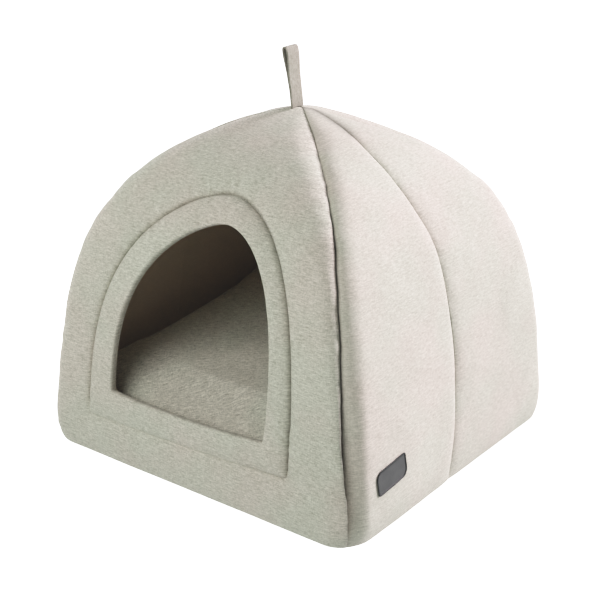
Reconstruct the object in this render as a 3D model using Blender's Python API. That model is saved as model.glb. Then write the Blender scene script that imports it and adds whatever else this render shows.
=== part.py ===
# A cat cave sewn from padded fabric. Four curved walls rise from a square foot to a peak.
# The front wall has an arched doorway with a quilted rim, and the two side walls are each
# sewn from two half panels. Inside are a base panel and a loose cushion. A strap loop
# stands on the peak, and a small patch sits near the foot of the right wall.
# Metres, +Z up. The doorway faces -Y and the origin is on the floor under the peak.
import math
from collections import namedtuple

import bmesh
import bpy
from mathutils import Vector

# Driving dimensions of the walls
CurvePoint = namedtuple("CurvePoint", "out up")
WALL_CURVE = (
    CurvePoint(0.2008, 0.0),     # foot: half the width of the cave
    CurvePoint(0.2206, 0.0489),  # lets the foot belly out
    CurvePoint(0.1709, 0.1325),  # keeps the lower wall upright
    CurvePoint(0.2420, 0.3241),  # rounds the shoulder
    CurvePoint(0.0, 0.3664),     # peak: the height of the cave
)
DEPTH_SHARE = 0.96        # front to back, as a share of side to side
PEAK_HALF = 0.0025        # half width at which the panels end under the peak
WALL_THICKNESS = 0.018
CORNER_RADIUS = 0.030
CORNER_SHARE = 0.6        # the most of the half width that a corner's radius takes
LEAST_RADIUS = 0.0008     # of a corner on the inner face
SEAM_TURN = math.radians(45)
SEAM_GAP = 0.0003
SEAM_DEPTH = 0.004        # how far a seam draws the padding in
SEAM_SHOULDER = 0.0012    # the same, beside the seam

# The doorway, on the front wall: heights are measured along the cloth from the foot
DoorLine = namedtuple("DoorLine", "middle half_width sill crown")
DOOR_LINES = {
    "hole": DoorLine(-0.0010, 0.1035, 0.0820, 0.2900),
    "stitching": DoorLine(-0.0068, 0.1338, 0.053, 0.3240),
}
DOOR_LEAN = 0.0200        # how far the crown of the arch stands to the side of the middle
ARCH_SIDE = 2.7           # how long the sides stay upright
ARCH_TOP = 1.62           # how round the crown is

# The loose parts
BASE_THICKNESS = 0.008
BASE_CLEARANCE = 0.0006
CUSHION_HALF = 0.1785
CUSHION_SQUARENESS = 7.0
CUSHION_PULL = 0.006      # how much of its half width a side draws in between corners
LOOP_WIDTH = 0.0195
LOOP_THICKNESS = 0.0011
LOOP_FOOT = Vector((-0.007, 0.0, 0.3656))
LOOP_HEIGHT = 0.0619
LOOP_GAP = 0.0054
LOOP_LEAN = 0.0098
PATCH_LENGTH = 0.049
PATCH_HEIGHT = 0.0246
PATCH_THICKNESS = 0.0015
PATCH_CORNER = 0.006
PATCH_ACROSS = -0.1312    # of its middle, along the right wall
PATCH_CLIMB = 0.0637      # of its middle, up the cloth
PATCH_TILT = math.radians(5.5)

# Mesh steps
CURVE_STEPS = 240
BOTTOM_STEPS = 12
SEAM_STEPS = 15
FOOT_HEM = 0.004          # height of the first row of a wall
CUSHION_STEPS = 44
LOOP_STEPS = 12
PATCH_STEPS = 8

Wall = namedtuple("Wall", "along out deep")
WALLS = {
    "front": Wall(Vector((1, 0, 0)), Vector((0, -1, 0)), True),
    "right": Wall(Vector((0, 1, 0)), Vector((1, 0, 0)), False),
    "back": Wall(Vector((-1, 0, 0)), Vector((0, 1, 0)), True),
    "left": Wall(Vector((0, -1, 0)), Vector((-1, 0, 0)), False),
}
Row = namedtuple("Row", "climb out up normal_out normal_up")


def curve_point(share):
    points = [(point.out, point.up) for point in WALL_CURVE]
    while len(points) > 1:
        points = [
            (a[0] + share * (b[0] - a[0]), a[1] + share * (b[1] - a[1]))
            for a, b in zip(points, points[1:])
        ]
    return points[0]


def wall_rows():
    """The wall's upright outline from foot to peak, with its outward normal."""
    points = [curve_point(step / CURVE_STEPS) for step in range(CURVE_STEPS + 1)]
    points = [point for point in points if point[0] >= PEAK_HALF]
    rows = []
    climb = 0.0
    for index, (out, up) in enumerate(points):
        before = points[max(index - 1, 0)]
        after = points[min(index + 1, len(points) - 1)]
        normal = Vector((after[1] - before[1], max(before[0] - after[0], 0.0))).normalized()
        if index:
            climb += math.dist(points[index - 1], points[index])
        rows.append(Row(climb, out, up, normal.x, normal.y))
    return rows


ROWS = wall_rows()
WALL_RUN = ROWS[-1].climb
SEAM_CLIMBS = [0.0] + [
    FOOT_HEM + (WALL_RUN - FOOT_HEM) * step / (SEAM_STEPS - 1) for step in range(SEAM_STEPS)
]


def row_at(climb):
    climb = min(max(climb, 0.0), WALL_RUN)
    upper = next(index for index, row in enumerate(ROWS) if row.climb >= climb or row is ROWS[-1])
    lower = max(upper - 1, 0)
    span = ROWS[upper].climb - ROWS[lower].climb
    share = (climb - ROWS[lower].climb) / span if span else 0.0
    return Row(*(a + share * (b - a) for a, b in zip(ROWS[lower], ROWS[upper])))


def corner_radius(row):
    return min(CORNER_RADIUS, CORNER_SHARE * row.out)


def flat_run(wall, row):
    """Half the flat part of the wall, between its rounded corners."""
    run = row.out if wall.deep else row.out * DEPTH_SHARE
    return run - corner_radius(row)


def edge_across(wall, climb):
    row = row_at(climb)
    return flat_run(wall, row) + corner_radius(row) * SEAM_TURN


def wall_point(wall, across, climb, inset):
    """A point of a wall: across and climb follow the cloth, inset goes into the padding."""
    row = row_at(climb)
    radius = corner_radius(row)
    flat = flat_run(wall, row)
    turn = min(max(0.0, (abs(across) - flat) / radius), SEAM_TURN)
    inner_radius = max(radius - inset * row.normal_out, LEAST_RADIUS)
    along = min(abs(across), flat) + inner_radius * math.sin(turn)
    if turn > SEAM_TURN - 1e-6:
        along -= SEAM_GAP / math.sqrt(2)
    reach = row.out * DEPTH_SHARE if wall.deep else row.out
    out = reach - radius + inner_radius * math.cos(turn)
    up = row.up - inset * row.normal_up
    return wall.along * math.copysign(along, across) + wall.out * out + Vector((0, 0, up))


def material(name, color, roughness):
    made = bpy.data.materials.new(name)
    made.use_nodes = True
    shader = made.node_tree.nodes["Principled BSDF"]
    shader.inputs["Base Color"].default_value = (*color, 1)
    shader.inputs["Roughness"].default_value = roughness
    shader.inputs["Metallic"].default_value = 0.0
    return made


def solid(name, points, faces, finish):
    """One closed object whose faces point out."""
    mesh = bpy.data.meshes.new(name)
    mesh.from_pydata([tuple(point) for point in points], [], faces)
    shape = bmesh.new()
    shape.from_mesh(mesh)
    bmesh.ops.recalc_face_normals(shape, faces=shape.faces)
    bmesh.ops.triangulate(shape, faces=shape.faces)
    shape.to_mesh(mesh)
    shape.free()
    mesh.shade_smooth()
    mesh.set_sharp_from_angle(angle=math.radians(50))
    mesh.materials.append(finish)
    made = bpy.data.objects.new(name, mesh)
    bpy.context.scene.collection.objects.link(made)
    return made


def band_faces(first, second, count):
    """Quads between two closed loops of points, given by their first indices."""
    return [
        (first + step, first + (step + 1) % count, second + (step + 1) % count, second + step)
        for step in range(count)
    ]


def stacked(loops):
    """All points of the loops, and the quads between each loop and the next."""
    count = len(loops[0])
    points = [point for loop in loops for point in loop]
    faces = []
    for index in range(len(loops) - 1):
        faces += band_faces(index * count, (index + 1) * count, count)
    return points, faces


def evenly_spaced(line, count):
    """Points at equal steps along a line, its two ends included."""
    lengths = [0.0]
    for a, b in zip(line, line[1:]):
        lengths.append(lengths[-1] + math.dist(a, b))
    spaced = []
    index = 0
    for step in range(count):
        target = lengths[-1] * step / (count - 1)
        while index < len(line) - 2 and lengths[index + 1] < target:
            index += 1
        share = (target - lengths[index]) / (lengths[index + 1] - lengths[index])
        spaced.append(tuple(a + share * (b - a) for a, b in zip(line[index], line[index + 1])))
    return spaced


def arch_point(line, share, side):
    """A point of an arch at a share of its height; side is -1 or 1."""
    half = line.half_width * (1 - share ** ARCH_SIDE) ** (1 / ARCH_TOP)
    middle = line.middle + DOOR_LEAN * share ** 2
    return middle + side * half, line.sill + share * (line.crown - line.sill)


def door_loop(line):
    """A doorway line as (across, climb): the sill from left to right, then the arch back."""
    fine = 200
    shares = [math.sin(math.pi / 2 * step / fine) for step in range(fine + 1)]
    arch = [arch_point(line, share, 1) for share in shares]
    arch += [arch_point(line, share, -1) for share in reversed(shares[:-1])]
    left, right = arch[-1], arch[0]
    sill = [
        tuple(a + (b - a) * step / BOTTOM_STEPS for a, b in zip(left, right))
        for step in range(BOTTOM_STEPS)
    ]
    return sill + evenly_spaced(arch, 2 * len(SEAM_CLIMBS))[:-1]


def edge_loop(wall):
    """The wall's own edge as (across, climb), matched point by point to a doorway line."""
    corner = corner_radius(ROWS[0]) * SEAM_TURN
    flat = flat_run(wall, ROWS[0])
    flat_steps = BOTTOM_STEPS - 4
    bottom = [(-flat - corner, 0.0), (-flat - corner / 2, 0.0)]
    bottom += [(flat * (2 * step / flat_steps - 1), 0.0) for step in range(flat_steps + 1)]
    bottom += [(flat + corner / 2, 0.0)]
    right = [(edge_across(wall, climb), climb) for climb in SEAM_CLIMBS]
    left = [(-across, climb) for across, climb in reversed(right)]
    return bottom + right + left[:-1]


Ring = namedtuple("Ring", "start end share inset")
HALF_THICK = WALL_THICKNESS / 2
FRONT_RINGS = (
    Ring("hole", "stitching", 0.00, HALF_THICK),
    Ring("hole", "stitching", 0.06, 0.0040),
    Ring("hole", "stitching", 0.25, SEAM_SHOULDER),
    Ring("hole", "stitching", 0.55, 0.0),
    Ring("hole", "stitching", 0.86, SEAM_SHOULDER),
    Ring("hole", "stitching", 1.00, SEAM_DEPTH),
    Ring("stitching", "edge", 0.08, SEAM_SHOULDER),
    Ring("stitching", "edge", 0.20, 0.0),
    Ring("stitching", "edge", 0.55, 0.0),
    Ring("stitching", "edge", 0.74, 0.0),
    Ring("stitching", "edge", 0.88, 0.0),
    Ring("stitching", "edge", 0.95, SEAM_SHOULDER),
    Ring("stitching", "edge", 1.00, SEAM_DEPTH),
    Ring("stitching", "edge", 1.00, WALL_THICKNESS),
    Ring("stitching", "edge", 0.88, WALL_THICKNESS),
    Ring("stitching", "edge", 0.74, WALL_THICKNESS),
    Ring("stitching", "edge", 0.40, WALL_THICKNESS),
    Ring("hole", "stitching", 1.00, WALL_THICKNESS),
    Ring("hole", "stitching", 0.12, WALL_THICKNESS - SEAM_SHOULDER),
)


def front_wall(fabric):
    """The padded front panel: rings of points run from the doorway out to the seams,
    over them to the inner face and back to the doorway."""
    wall = WALLS["front"]
    lines = {name: door_loop(line) for name, line in DOOR_LINES.items()}
    lines["edge"] = edge_loop(wall)
    loops = []
    for ring in FRONT_RINGS:
        loop = []
        for a, b in zip(lines[ring.start], lines[ring.end]):
            across = a[0] + ring.share * (b[0] - a[0])
            climb = a[1] + ring.share * (b[1] - a[1])
            loop.append(wall_point(wall, across, climb, ring.inset))
        loops.append(loop)
    points, faces = stacked(loops)
    count = len(loops[0])
    faces += band_faces((len(loops) - 1) * count, 0, count)
    return solid("front_wall", points, faces, fabric)


Station = namedtuple("Station", "flat turn inset")
CORNER_STATIONS = (
    Station(0.55, 0.00, 0.0),
    Station(1.00, 0.00, 0.0),
    Station(1.00, 0.35, 0.0),
    Station(1.00, 0.70, SEAM_SHOULDER),
    Station(1.00, 1.00, SEAM_DEPTH),
)
MIDDLE_SEAM_STATIONS = (
    Station(0.00, 0.00, SEAM_DEPTH),
    Station(0.05, 0.00, SEAM_SHOULDER),
    Station(0.16, 0.00, 0.0),
)


def panel(name, wall, columns, fabric):
    """A padded panel without an opening. Each column is (side, station)."""
    loops = []
    for climb in SEAM_CLIMBS:
        row = row_at(climb)
        foot_inset = SEAM_DEPTH if climb == 0.0 else SEAM_SHOULDER if climb == FOOT_HEM else 0.0
        outer = []
        inner = []
        for side, station in columns:
            across = station.flat * flat_run(wall, row)
            across += station.turn * corner_radius(row) * SEAM_TURN
            across = side * max(across, SEAM_GAP / 2)
            inset = max(station.inset, foot_inset)
            outer.append(wall_point(wall, across, climb, inset))
            inner.append(wall_point(wall, across, climb, WALL_THICKNESS))
        loops.append(outer + inner[::-1])
    points, faces = stacked(loops)
    count = len(loops[0])
    for start in (0, (len(loops) - 1) * count):
        for step in range(len(columns) - 1):
            far = start + count - 1 - step
            faces.append((start + step, start + step + 1, far - 1, far))
    return solid(name, points, faces, fabric)


def half_panels(wall_name, fabric):
    """The two halves of a side wall. The front half is the one nearer -Y."""
    wall = WALLS[wall_name]
    stations = MIDDLE_SEAM_STATIONS + CORNER_STATIONS
    for side in (-1, 1):
        nearer = wall.along.y * side < 0
        name = f"{wall_name}_wall_{'front' if nearer else 'rear'}"
        panel(name, wall, [(side, station) for station in stations], fabric)


def back_wall(fabric):
    columns = [(-1, station) for station in reversed(CORNER_STATIONS)]
    columns += [(1, station) for station in CORNER_STATIONS]
    panel("back_wall", WALLS["back"], columns, fabric)


def rounded_square(half_x, half_y, radius, up):
    """A square with rounded corners, four steps to a corner."""
    loop = []
    for quarter in range(4):
        for step in range(5):
            angle = math.radians(90 * quarter + 22.5 * step)
            side_x = 1 if quarter in (0, 3) else -1
            side_y = 1 if quarter in (0, 1) else -1
            loop.append(Vector((
                side_x * (half_x - radius) + radius * math.cos(angle),
                side_y * (half_y - radius) + radius * math.sin(angle),
                up,
            )))
    return loop


def base_panel(fabric):
    """The padded floor between the walls."""
    foot = ROWS[0].out
    gap = WALL_THICKNESS + BASE_CLEARANCE
    Edge = namedtuple("Edge", "drawn_in up")
    edges = (Edge(0.0015, 0.0), Edge(0.0, 0.0015), Edge(0.0, 0.0065), Edge(0.0015, BASE_THICKNESS))
    loops = []
    for edge in edges:
        inset = gap + edge.drawn_in
        half_y = foot * DEPTH_SHARE - inset
        loops.append(rounded_square(foot - inset, half_y, CORNER_RADIUS - inset, edge.up))
    points, faces = stacked(loops)
    count = len(loops[0])
    faces.append(tuple(range(count)))
    faces.append(tuple(range(len(points) - count, len(points))))
    return solid("base_panel", points, faces, fabric)


CushionRing = namedtuple("CushionRing", "size up")
CUSHION_FOOT = BASE_THICKNESS + SEAM_GAP
CUSHION_RINGS = (
    CushionRing(0.50, 0.000),
    CushionRing(0.90, 0.000),
    CushionRing(0.97, 0.008),
    CushionRing(1.00, 0.036),  # the seam round its side
    CushionRing(0.998, 0.060),
    CushionRing(0.982, 0.0765),
    CushionRing(0.94, 0.0845),
    CushionRing(0.80, 0.0880),
    CushionRing(0.55, 0.0903),
    CushionRing(0.28, 0.0916),
)
CUSHION_CROWN = 0.0930
LiftPoint = namedtuple("LiftPoint", "back up")
CUSHION_LIFTS = (
    LiftPoint(-0.18, -0.016),
    LiftPoint(-0.155, -0.007),
    LiftPoint(-0.125, -0.001),
    LiftPoint(-0.08, 0.0025),
    LiftPoint(-0.03, 0.005),
    LiftPoint(0.03, 0.011),
    LiftPoint(0.08, 0.018),
    LiftPoint(0.13, 0.027),
    LiftPoint(0.18, 0.033),
)
LIFTED_ABOVE = 0.070      # height from which the cushion rises by the whole lift


def cushion_lift(back, up):
    """How much higher the cushion lies towards the back, less in its lower part."""
    for low, high in zip(CUSHION_LIFTS, CUSHION_LIFTS[1:]):
        if back <= high.back:
            share = (back - low.back) / (high.back - low.back)
            return (low.up + share * (high.up - low.up)) * min(1.0, up / LIFTED_ABOVE)
    return CUSHION_LIFTS[-1].up


def cushion(fabric):
    """The filled cushion: square, flat below, crowned above and higher towards the back."""
    loops = []
    for ring in CUSHION_RINGS:
        loop = []
        for step in range(CUSHION_STEPS):
            angle = math.tau * step / CUSHION_STEPS
            power = 2 / CUSHION_SQUARENESS
            x = math.copysign(abs(math.cos(angle)) ** power, math.cos(angle))
            y = math.copysign(abs(math.sin(angle)) ** power, math.sin(angle))
            size = CUSHION_HALF * ring.size * (1 - CUSHION_PULL * math.cos(2 * angle) ** 2)
            back = y * size * DEPTH_SHARE
            up = CUSHION_FOOT + ring.up + cushion_lift(back, ring.up)
            loop.append(Vector((x * size, back, up)))
        loops.append(loop)
    points, faces = stacked(loops)
    bottom = len(points)
    crown = CUSHION_FOOT + CUSHION_CROWN + cushion_lift(0.0, CUSHION_CROWN)
    points += [Vector((0, 0, CUSHION_FOOT)), Vector((0, 0, crown))]
    last = bottom - CUSHION_STEPS
    for step in range(CUSHION_STEPS):
        after = (step + 1) % CUSHION_STEPS
        faces.append((step, after, bottom))
        faces.append((last + step, last + after, bottom + 1))
    return solid("cushion", points, faces, fabric)


def loop_middle(share):
    """The line midway between the strap's two runs, leaning to -X as it rises."""
    return LOOP_FOOT + Vector((-LOOP_LEAN * share ** 1.2, 0, LOOP_HEIGHT * share))


def loop_half_gap(share):
    """Half the distance between the strap's runs: closed at the foot, open near the top."""
    opening = math.sin(math.pi / 2 * min(1.0, share / 0.75)) ** 1.5
    fold = math.sqrt(max(0.0, 1 - max(0.0, (share - 0.90) / 0.10) ** 2))
    return LOOP_THICKNESS / 2 + 0.0002 + LOOP_GAP / 2 * opening * fold


def hanging_loop(fabric):
    """A flat strap folded double: a closed band whose two runs join at foot and top."""
    shares = [0.0, 0.04]
    shares += [0.04 + 0.86 * step / LOOP_STEPS for step in range(1, LOOP_STEPS + 1)]
    shares += [0.94, 0.97, 0.985]
    route = []
    for side, order in ((1, shares), (-1, shares[::-1])):
        for share in order:
            route.append(loop_middle(share) + Vector((side * loop_half_gap(share), 0, 0)))
    points = []
    for index, point in enumerate(route):
        before = route[index - 1]
        after = route[(index + 1) % len(route)]
        tangent = (after - before).normalized()
        outward = Vector((tangent.z, 0, -tangent.x)) * LOOP_THICKNESS / 2
        across = Vector((0, LOOP_WIDTH / 2, 0))
        points += [point + outward + across, point + outward - across]
        points += [point - outward - across, point - outward + across]
    faces = []
    for index in range(len(route)):
        faces += band_faces(4 * index, 4 * ((index + 1) % len(route)), 4)
    return solid("hanging_loop", points, faces, fabric)


def label_patch(rubber):
    """A small plate with round corners that follows the right wall."""
    wall = WALLS["right"]
    half_length = PATCH_LENGTH / 2
    loops = []
    for step in range(PATCH_STEPS + 1):
        along = -half_length * math.cos(math.pi * step / PATCH_STEPS)
        into_corner = max(0.0, abs(along) - (half_length - PATCH_CORNER))
        rounded = math.sqrt(max(PATCH_CORNER ** 2 - into_corner ** 2, 0.0))
        half_height = PATCH_HEIGHT / 2 - PATCH_CORNER + rounded
        outer = []
        inner = []
        for share in (-1.0, -0.4, 0.4, 1.0):
            rise = share * half_height
            climb = PATCH_CLIMB + math.sin(PATCH_TILT) * along + math.cos(PATCH_TILT) * rise
            across = PATCH_ACROSS + math.cos(PATCH_TILT) * along - math.sin(PATCH_TILT) * rise
            outer.append(wall_point(wall, across, climb, -SEAM_GAP - PATCH_THICKNESS))
            inner.append(wall_point(wall, across, climb, -SEAM_GAP))
        loops.append(outer + inner[::-1])
    points, faces = stacked(loops)
    count = len(loops[0])
    for start in (0, len(points) - count):
        for step in range(3):
            far = start + count - 1 - step
            faces.append((start + step, start + step + 1, far - 1, far))
    return solid("label_patch", points, faces, rubber)


def build():
    for old in list(bpy.data.objects):
        bpy.data.objects.remove(old)
    front_wall(material("front_fabric", (0.52, 0.50, 0.44), 0.9))
    half_panels("right", material("right_fabric", (0.55, 0.52, 0.47), 0.9))
    half_panels("left", material("left_fabric", (0.52, 0.50, 0.44), 0.9))
    back_wall(material("back_fabric", (0.52, 0.50, 0.44), 0.9))
    base_panel(material("base_fabric", (0.42, 0.40, 0.35), 0.9))
    cushion(material("cushion_fabric", (0.50, 0.48, 0.42), 0.9))
    hanging_loop(material("strap_fabric", (0.47, 0.44, 0.39), 0.85))
    label_patch(material("patch_rubber", (0.12, 0.12, 0.125), 0.55))


build()
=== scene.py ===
# A cat cave of padded linen-look cloth: the finished look of each piece around its frame.
# Metres, +Z up, the doorway faces -Y. A place on the cloth of a wall is (across, climb):
# across runs along the wall from its middle, climb follows the cloth up from the foot.
import math

import bmesh
import bpy
import numpy as np
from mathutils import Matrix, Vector


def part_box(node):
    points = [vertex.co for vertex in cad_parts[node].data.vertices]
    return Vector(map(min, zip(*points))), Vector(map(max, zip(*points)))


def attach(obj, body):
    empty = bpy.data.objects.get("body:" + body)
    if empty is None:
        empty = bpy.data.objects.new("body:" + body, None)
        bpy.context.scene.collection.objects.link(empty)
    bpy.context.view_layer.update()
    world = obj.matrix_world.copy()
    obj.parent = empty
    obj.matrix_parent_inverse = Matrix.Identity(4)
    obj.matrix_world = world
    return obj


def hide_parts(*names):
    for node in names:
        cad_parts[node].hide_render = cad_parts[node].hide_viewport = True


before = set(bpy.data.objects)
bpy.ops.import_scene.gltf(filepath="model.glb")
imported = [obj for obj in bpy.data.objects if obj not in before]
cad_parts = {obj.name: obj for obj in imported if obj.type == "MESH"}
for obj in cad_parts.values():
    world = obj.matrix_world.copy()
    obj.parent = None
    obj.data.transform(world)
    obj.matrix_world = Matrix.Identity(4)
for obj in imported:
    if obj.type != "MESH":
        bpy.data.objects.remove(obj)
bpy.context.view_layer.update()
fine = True
print("frame loaded:", len(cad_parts), "nodes")


# The shape that all the walls share

cave = {
    "outline": ((0.2008, 0.0), (0.2206, 0.0489), (0.1709, 0.1325), (0.2420, 0.3241), (0.0, 0.3664)),
    "outlineSteps": 1600,
    "depthShare": 0.96,       # front to back, as a share of side to side
    "thickness": 0.018,
    "cornerRadius": 0.030,
    "cornerShare": 0.6,       # the most of the half width that a corner takes
    "leastRadius": 0.0008,
    "tipHalf": 0.0004,        # half width at which the panels end under the peak
    "gap": 0.0003,            # between two panels in their seam
    "footRoll": 0.0032,       # radius of the cloth where it turns under the foot
    "narrow": (0.07, 0.12),   # half width under which the dips get smaller, and their least share
    "slopeStep": 0.001,       # the step with which a seam's slope is measured
    "turnSteps": 3,           # rows of points across a panel's cut side
}

# Each wall's directions, whether it closes the cave's depth, and how its corner seams draw it in:
# depth, reach, width of the crease
walls = {
    "front": {"across": (1, 0, 0), "out": (0, -1, 0), "deep": True, "seam": (0.0100, 0.0100, 0.0016)},
    "right": {"across": (0, 1, 0), "out": (1, 0, 0), "deep": False, "seam": (0.0100, 0.0115, 0.0015)},
    "back": {"across": (-1, 0, 0), "out": (0, 1, 0), "deep": True, "seam": (0.0100, 0.0115, 0.0015)},
    "left": {"across": (0, -1, 0), "out": (-1, 0, 0), "deep": False, "seam": (0.0100, 0.0115, 0.0015)},
}

# How a corner seam wanders: at each height, its angle round the corner in degrees, from 0
# where the side wall starts to 90 where the front or back wall starts
cornerSeams = {
    "frontRight": ((0.0, 39.5), (0.03, 43.5), (0.05, 45.5), (0.08, 50.0), (0.11, 52.5), (0.19, 49.5),
                   (0.25, 46.0), (0.28, 42.0), (0.31, 39.0), (0.34, 37.5), (0.37, 42.0)),
    "frontLeft": ((0.0, 33.0), (0.05, 30.5), (0.14, 26.5), (0.22, 23.0), (0.27, 15.0), (0.31, 5.0),
                  (0.345, 3.5), (0.37, 8.0)),
    "backRight": ((0.0, 51.0), (0.06, 54.5), (0.16, 59.5), (0.27, 58.0), (0.37, 50.0)),
    "backLeft": ((0.0, 44.0), (0.12, 47.0), (0.22, 43.5), (0.31, 46.0), (0.37, 45.0)),
}
cornerOf = {
    ("front", 1): "frontRight", ("right", -1): "frontRight",
    ("front", -1): "frontLeft", ("left", 1): "frontLeft",
    ("back", -1): "backRight", ("right", 1): "backRight",
    ("back", 1): "backLeft", ("left", -1): "backLeft",
}
# How deep a corner seam is; what share of that is left at the foot, where it starts to grow and
# over how much climb; its change towards the peak, from where and over how much climb; and how
# tight and how puckered it is
usualSeam = {"depth": 0.72, "foot": (0.10, 0.0, 0.09), "peak": (0.0, 0.27, 0.07), "tight": 1.0,
             "pucker": 0.45}
seamLooks = {
    "frontRight": {**usualSeam, "depth": 1.0, "pucker": 1.0},
    "frontLeft": {**usualSeam, "depth": 0.62, "peak": (-0.465, 0.27, 0.07), "tight": 0.4},
    "backRight": {**usualSeam, "depth": 0.76, "foot": (0.45, 0.0, 0.07), "peak": (0.60, 0.26, 0.06)},
    "backLeft": usualSeam,
}
# Puckers along a corner seam: size, pitch, reach, and what is added to the seam's seed
seamPuckers = ((0.0015, 0.0055, 0.0040, 0), (0.0016, 0.0120, 0.0085, 20))
# How the seam down the middle of a side wall wanders: place across at each height
middleSeams = {
    "right": ((0.0, -0.0132), (0.02, -0.0116), (0.07, -0.0046), (0.14, 0.0010), (0.20, 0.0008),
              (0.26, -0.0006), (0.287, -0.0058), (0.315, -0.0078), (0.335, -0.0070),
              (0.35, -0.0015), (0.37, 0.0060)),
    "left": ((0.0, 0.0030), (0.10, 0.0), (0.22, -0.0015), (0.37, 0.0)),
}
# How tight the corner seams are pulled at each height, and how dark the painted shade along them is
seamPull = ((0.0, 0.25), (0.045, 0.35), (0.080, 0.50), (0.125, 0.85), (0.17, 1.0), (0.25, 1.0),
            (0.300, 1.0), (0.318, 0.45), (0.34, 0.20), (0.37, 0.10))
# How far from the corner seam the front wall rolls in at each height
frontRoll = ((0.0, 0.0030), (0.06, 0.0030), (0.11, 0.0034), (0.17, 0.0044), (0.25, 0.0070),
             (0.30, 0.0100), (0.37, 0.0100))
# The small unevenness of the corner seams: degrees, and the pitch along the seam
seamSways = ((0.9, 0.016), (0.5, 0.006))
usualTight = 0.45             # how much of a seam's dip is a tight crease
seamShadeWidth = 0.0013             # width of the painted shade line along a seam
seamGapShade = 0.9                # how dark the painted shade is on the cloth in a seam's gap
hiddenFaceShade = 0.5               # and the painted shade on the hidden face


def runAlong(line):
    # how far along a flat line each of its points is
    return np.concatenate([[0.0], np.cumsum(np.hypot(*np.diff(line, axis=0).T))])


def respaced(line, count, closed=False):
    # the same flat line as count points at even steps
    run = runAlong(line)
    even = np.linspace(0.0, run[-1], count, endpoint=not closed)
    return np.stack([np.interp(even, run, line[:, k]) for k in (0, 1)], axis=1)


def readOutline():
    # the outline as a fine line, with its direction outwards at each point
    share = np.linspace(0.0, 1.0, cave["outlineSteps"])[:, None]
    corners = np.array(cave["outline"])
    degree = len(corners) - 1
    line = sum(
        math.comb(degree, k) * share ** k * (1 - share) ** (degree - k) * corners[k]
        for k in range(degree + 1)
    )
    line = line[line[:, 0] >= cave["tipHalf"]]
    slope = np.gradient(line, axis=0)
    normal = np.stack([slope[:, 1], np.maximum(-slope[:, 0], 0.0)], axis=1)
    normal /= np.linalg.norm(normal, axis=1, keepdims=True)
    return {
        "climb": runAlong(line),
        "out": line[:, 0],
        "up": line[:, 1],
        "normalOut": normal[:, 0],
        "normalUp": normal[:, 1],
    }


outline = readOutline()
clothRun = outline["climb"][-1]


def atClimb(what, climb):
    return np.interp(climb, outline["climb"], outline[what])


def curveThrough(table, place):
    # a smooth curve through the rows of a table
    places, sizes = np.array(table, float).T
    slopes = np.gradient(sizes, places)
    place = np.clip(place, places[0], places[-1])
    low = np.clip(np.searchsorted(places, place) - 1, 0, len(places) - 2)
    width = places[low + 1] - places[low]
    t = (place - places[low]) / width
    return (
        sizes[low] * (1 + 2 * t) * (1 - t) ** 2 + sizes[low + 1] * t * t * (3 - 2 * t)
        + width * (slopes[low] * t * (1 - t) ** 2 - slopes[low + 1] * t * t * (1 - t))
    )


def cornerRadius(climb):
    return np.minimum(cave["cornerRadius"], cave["cornerShare"] * atClimb("out", climb))


def flatHalf(wall, climb):
    run = atClimb("out", climb) * (1.0 if walls[wall]["deep"] else cave["depthShare"])
    return run - cornerRadius(climb)


def wallPoint(wall, across, climb, inset):
    # inset goes into the padding
    radius = cornerRadius(climb)
    flat = flatHalf(wall, climb)
    turn = np.maximum(0.0, (np.abs(across) - flat) / radius)
    inner = np.maximum(radius - inset * atClimb("normalOut", climb), cave["leastRadius"])
    sideways = np.minimum(np.abs(across), flat) + inner * np.sin(turn)
    reach = atClimb("out", climb) * (cave["depthShare"] if walls[wall]["deep"] else 1.0)
    out = reach - radius + inner * np.cos(turn)
    up = atClimb("up", climb) - inset * atClimb("normalUp", climb)
    return (
        (np.sign(across) * sideways)[..., None] * np.array(walls[wall]["across"])
        + out[..., None] * np.array(walls[wall]["out"])
        + up[..., None] * np.array((0.0, 0.0, 1.0))
    )


def seamAcross(wall, side, climb):
    # where the wall's corner seam is, on one side
    corner = cornerOf[wall, side]
    height = atClimb("up", climb)
    angle = curveThrough(cornerSeams[corner], height)
    seed = 400 + sorted(cornerSeams).index(corner)
    for number, (degrees, pitch) in enumerate(seamSways):
        angle = angle + degrees * waver(height, pitch, seed + 10 * number)
    angle = np.radians(angle)
    turn = math.pi / 2 - angle if walls[wall]["deep"] else angle
    return flatHalf(wall, climb) + cornerRadius(climb) * turn - cave["gap"] / 2


def narrowing(wall, side, climb):
    # how much smaller the dips are where a panel narrows to the peak
    width, least = cave["narrow"]
    return np.clip(seamAcross(wall, side, climb) / width, least, 1.0)


def seamDistance(wall, side, across, climb):
    # how far a place on the cloth is from the wall's corner seam
    step = cave["slopeStep"]
    lean = (seamAcross(wall, side, climb + step) - seamAcross(wall, side, climb - step)) / (2 * step)
    gap = seamAcross(wall, side, climb) - side * across
    return np.maximum(gap, 0.0) / np.sqrt(1 + lean ** 2)


# Small uneven things that padding and thread do to cloth

# How many random knots a wave has, and a start that keeps its places above 0
lineKnots, lineStart = 1024, 300.5
surfaceKnots, surfaceStart = 128, 50.5
# The share of a seam's length that is puckered, how much that changes, and a group's puckers
puckerGroups = (0.35, 0.9, 6)
creaseFade = 0.6              # how much shallower a crease is at its end


def eased(share):
    share = np.clip(share, 0.0, 1.0)
    return share * share * (3 - 2 * share)


def rising(place, span):
    # grows from 0 to 1 after the place where the span starts, over its run
    start, run = span
    return eased((place - start) / run)


def between(ends, share):
    return ends[0] + share * (ends[1] - ends[0])


def waver(place, pitch, seed):
    # a smooth random wave along a line, between -1 and 1
    knots = np.random.default_rng(seed).uniform(-1, 1, lineKnots)
    place = place / pitch + lineStart
    whole = np.floor(place).astype(int)
    ease = eased(place - whole)
    return knots[whole % lineKnots] * (1 - ease) + knots[(whole + 1) % lineKnots] * ease


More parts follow.
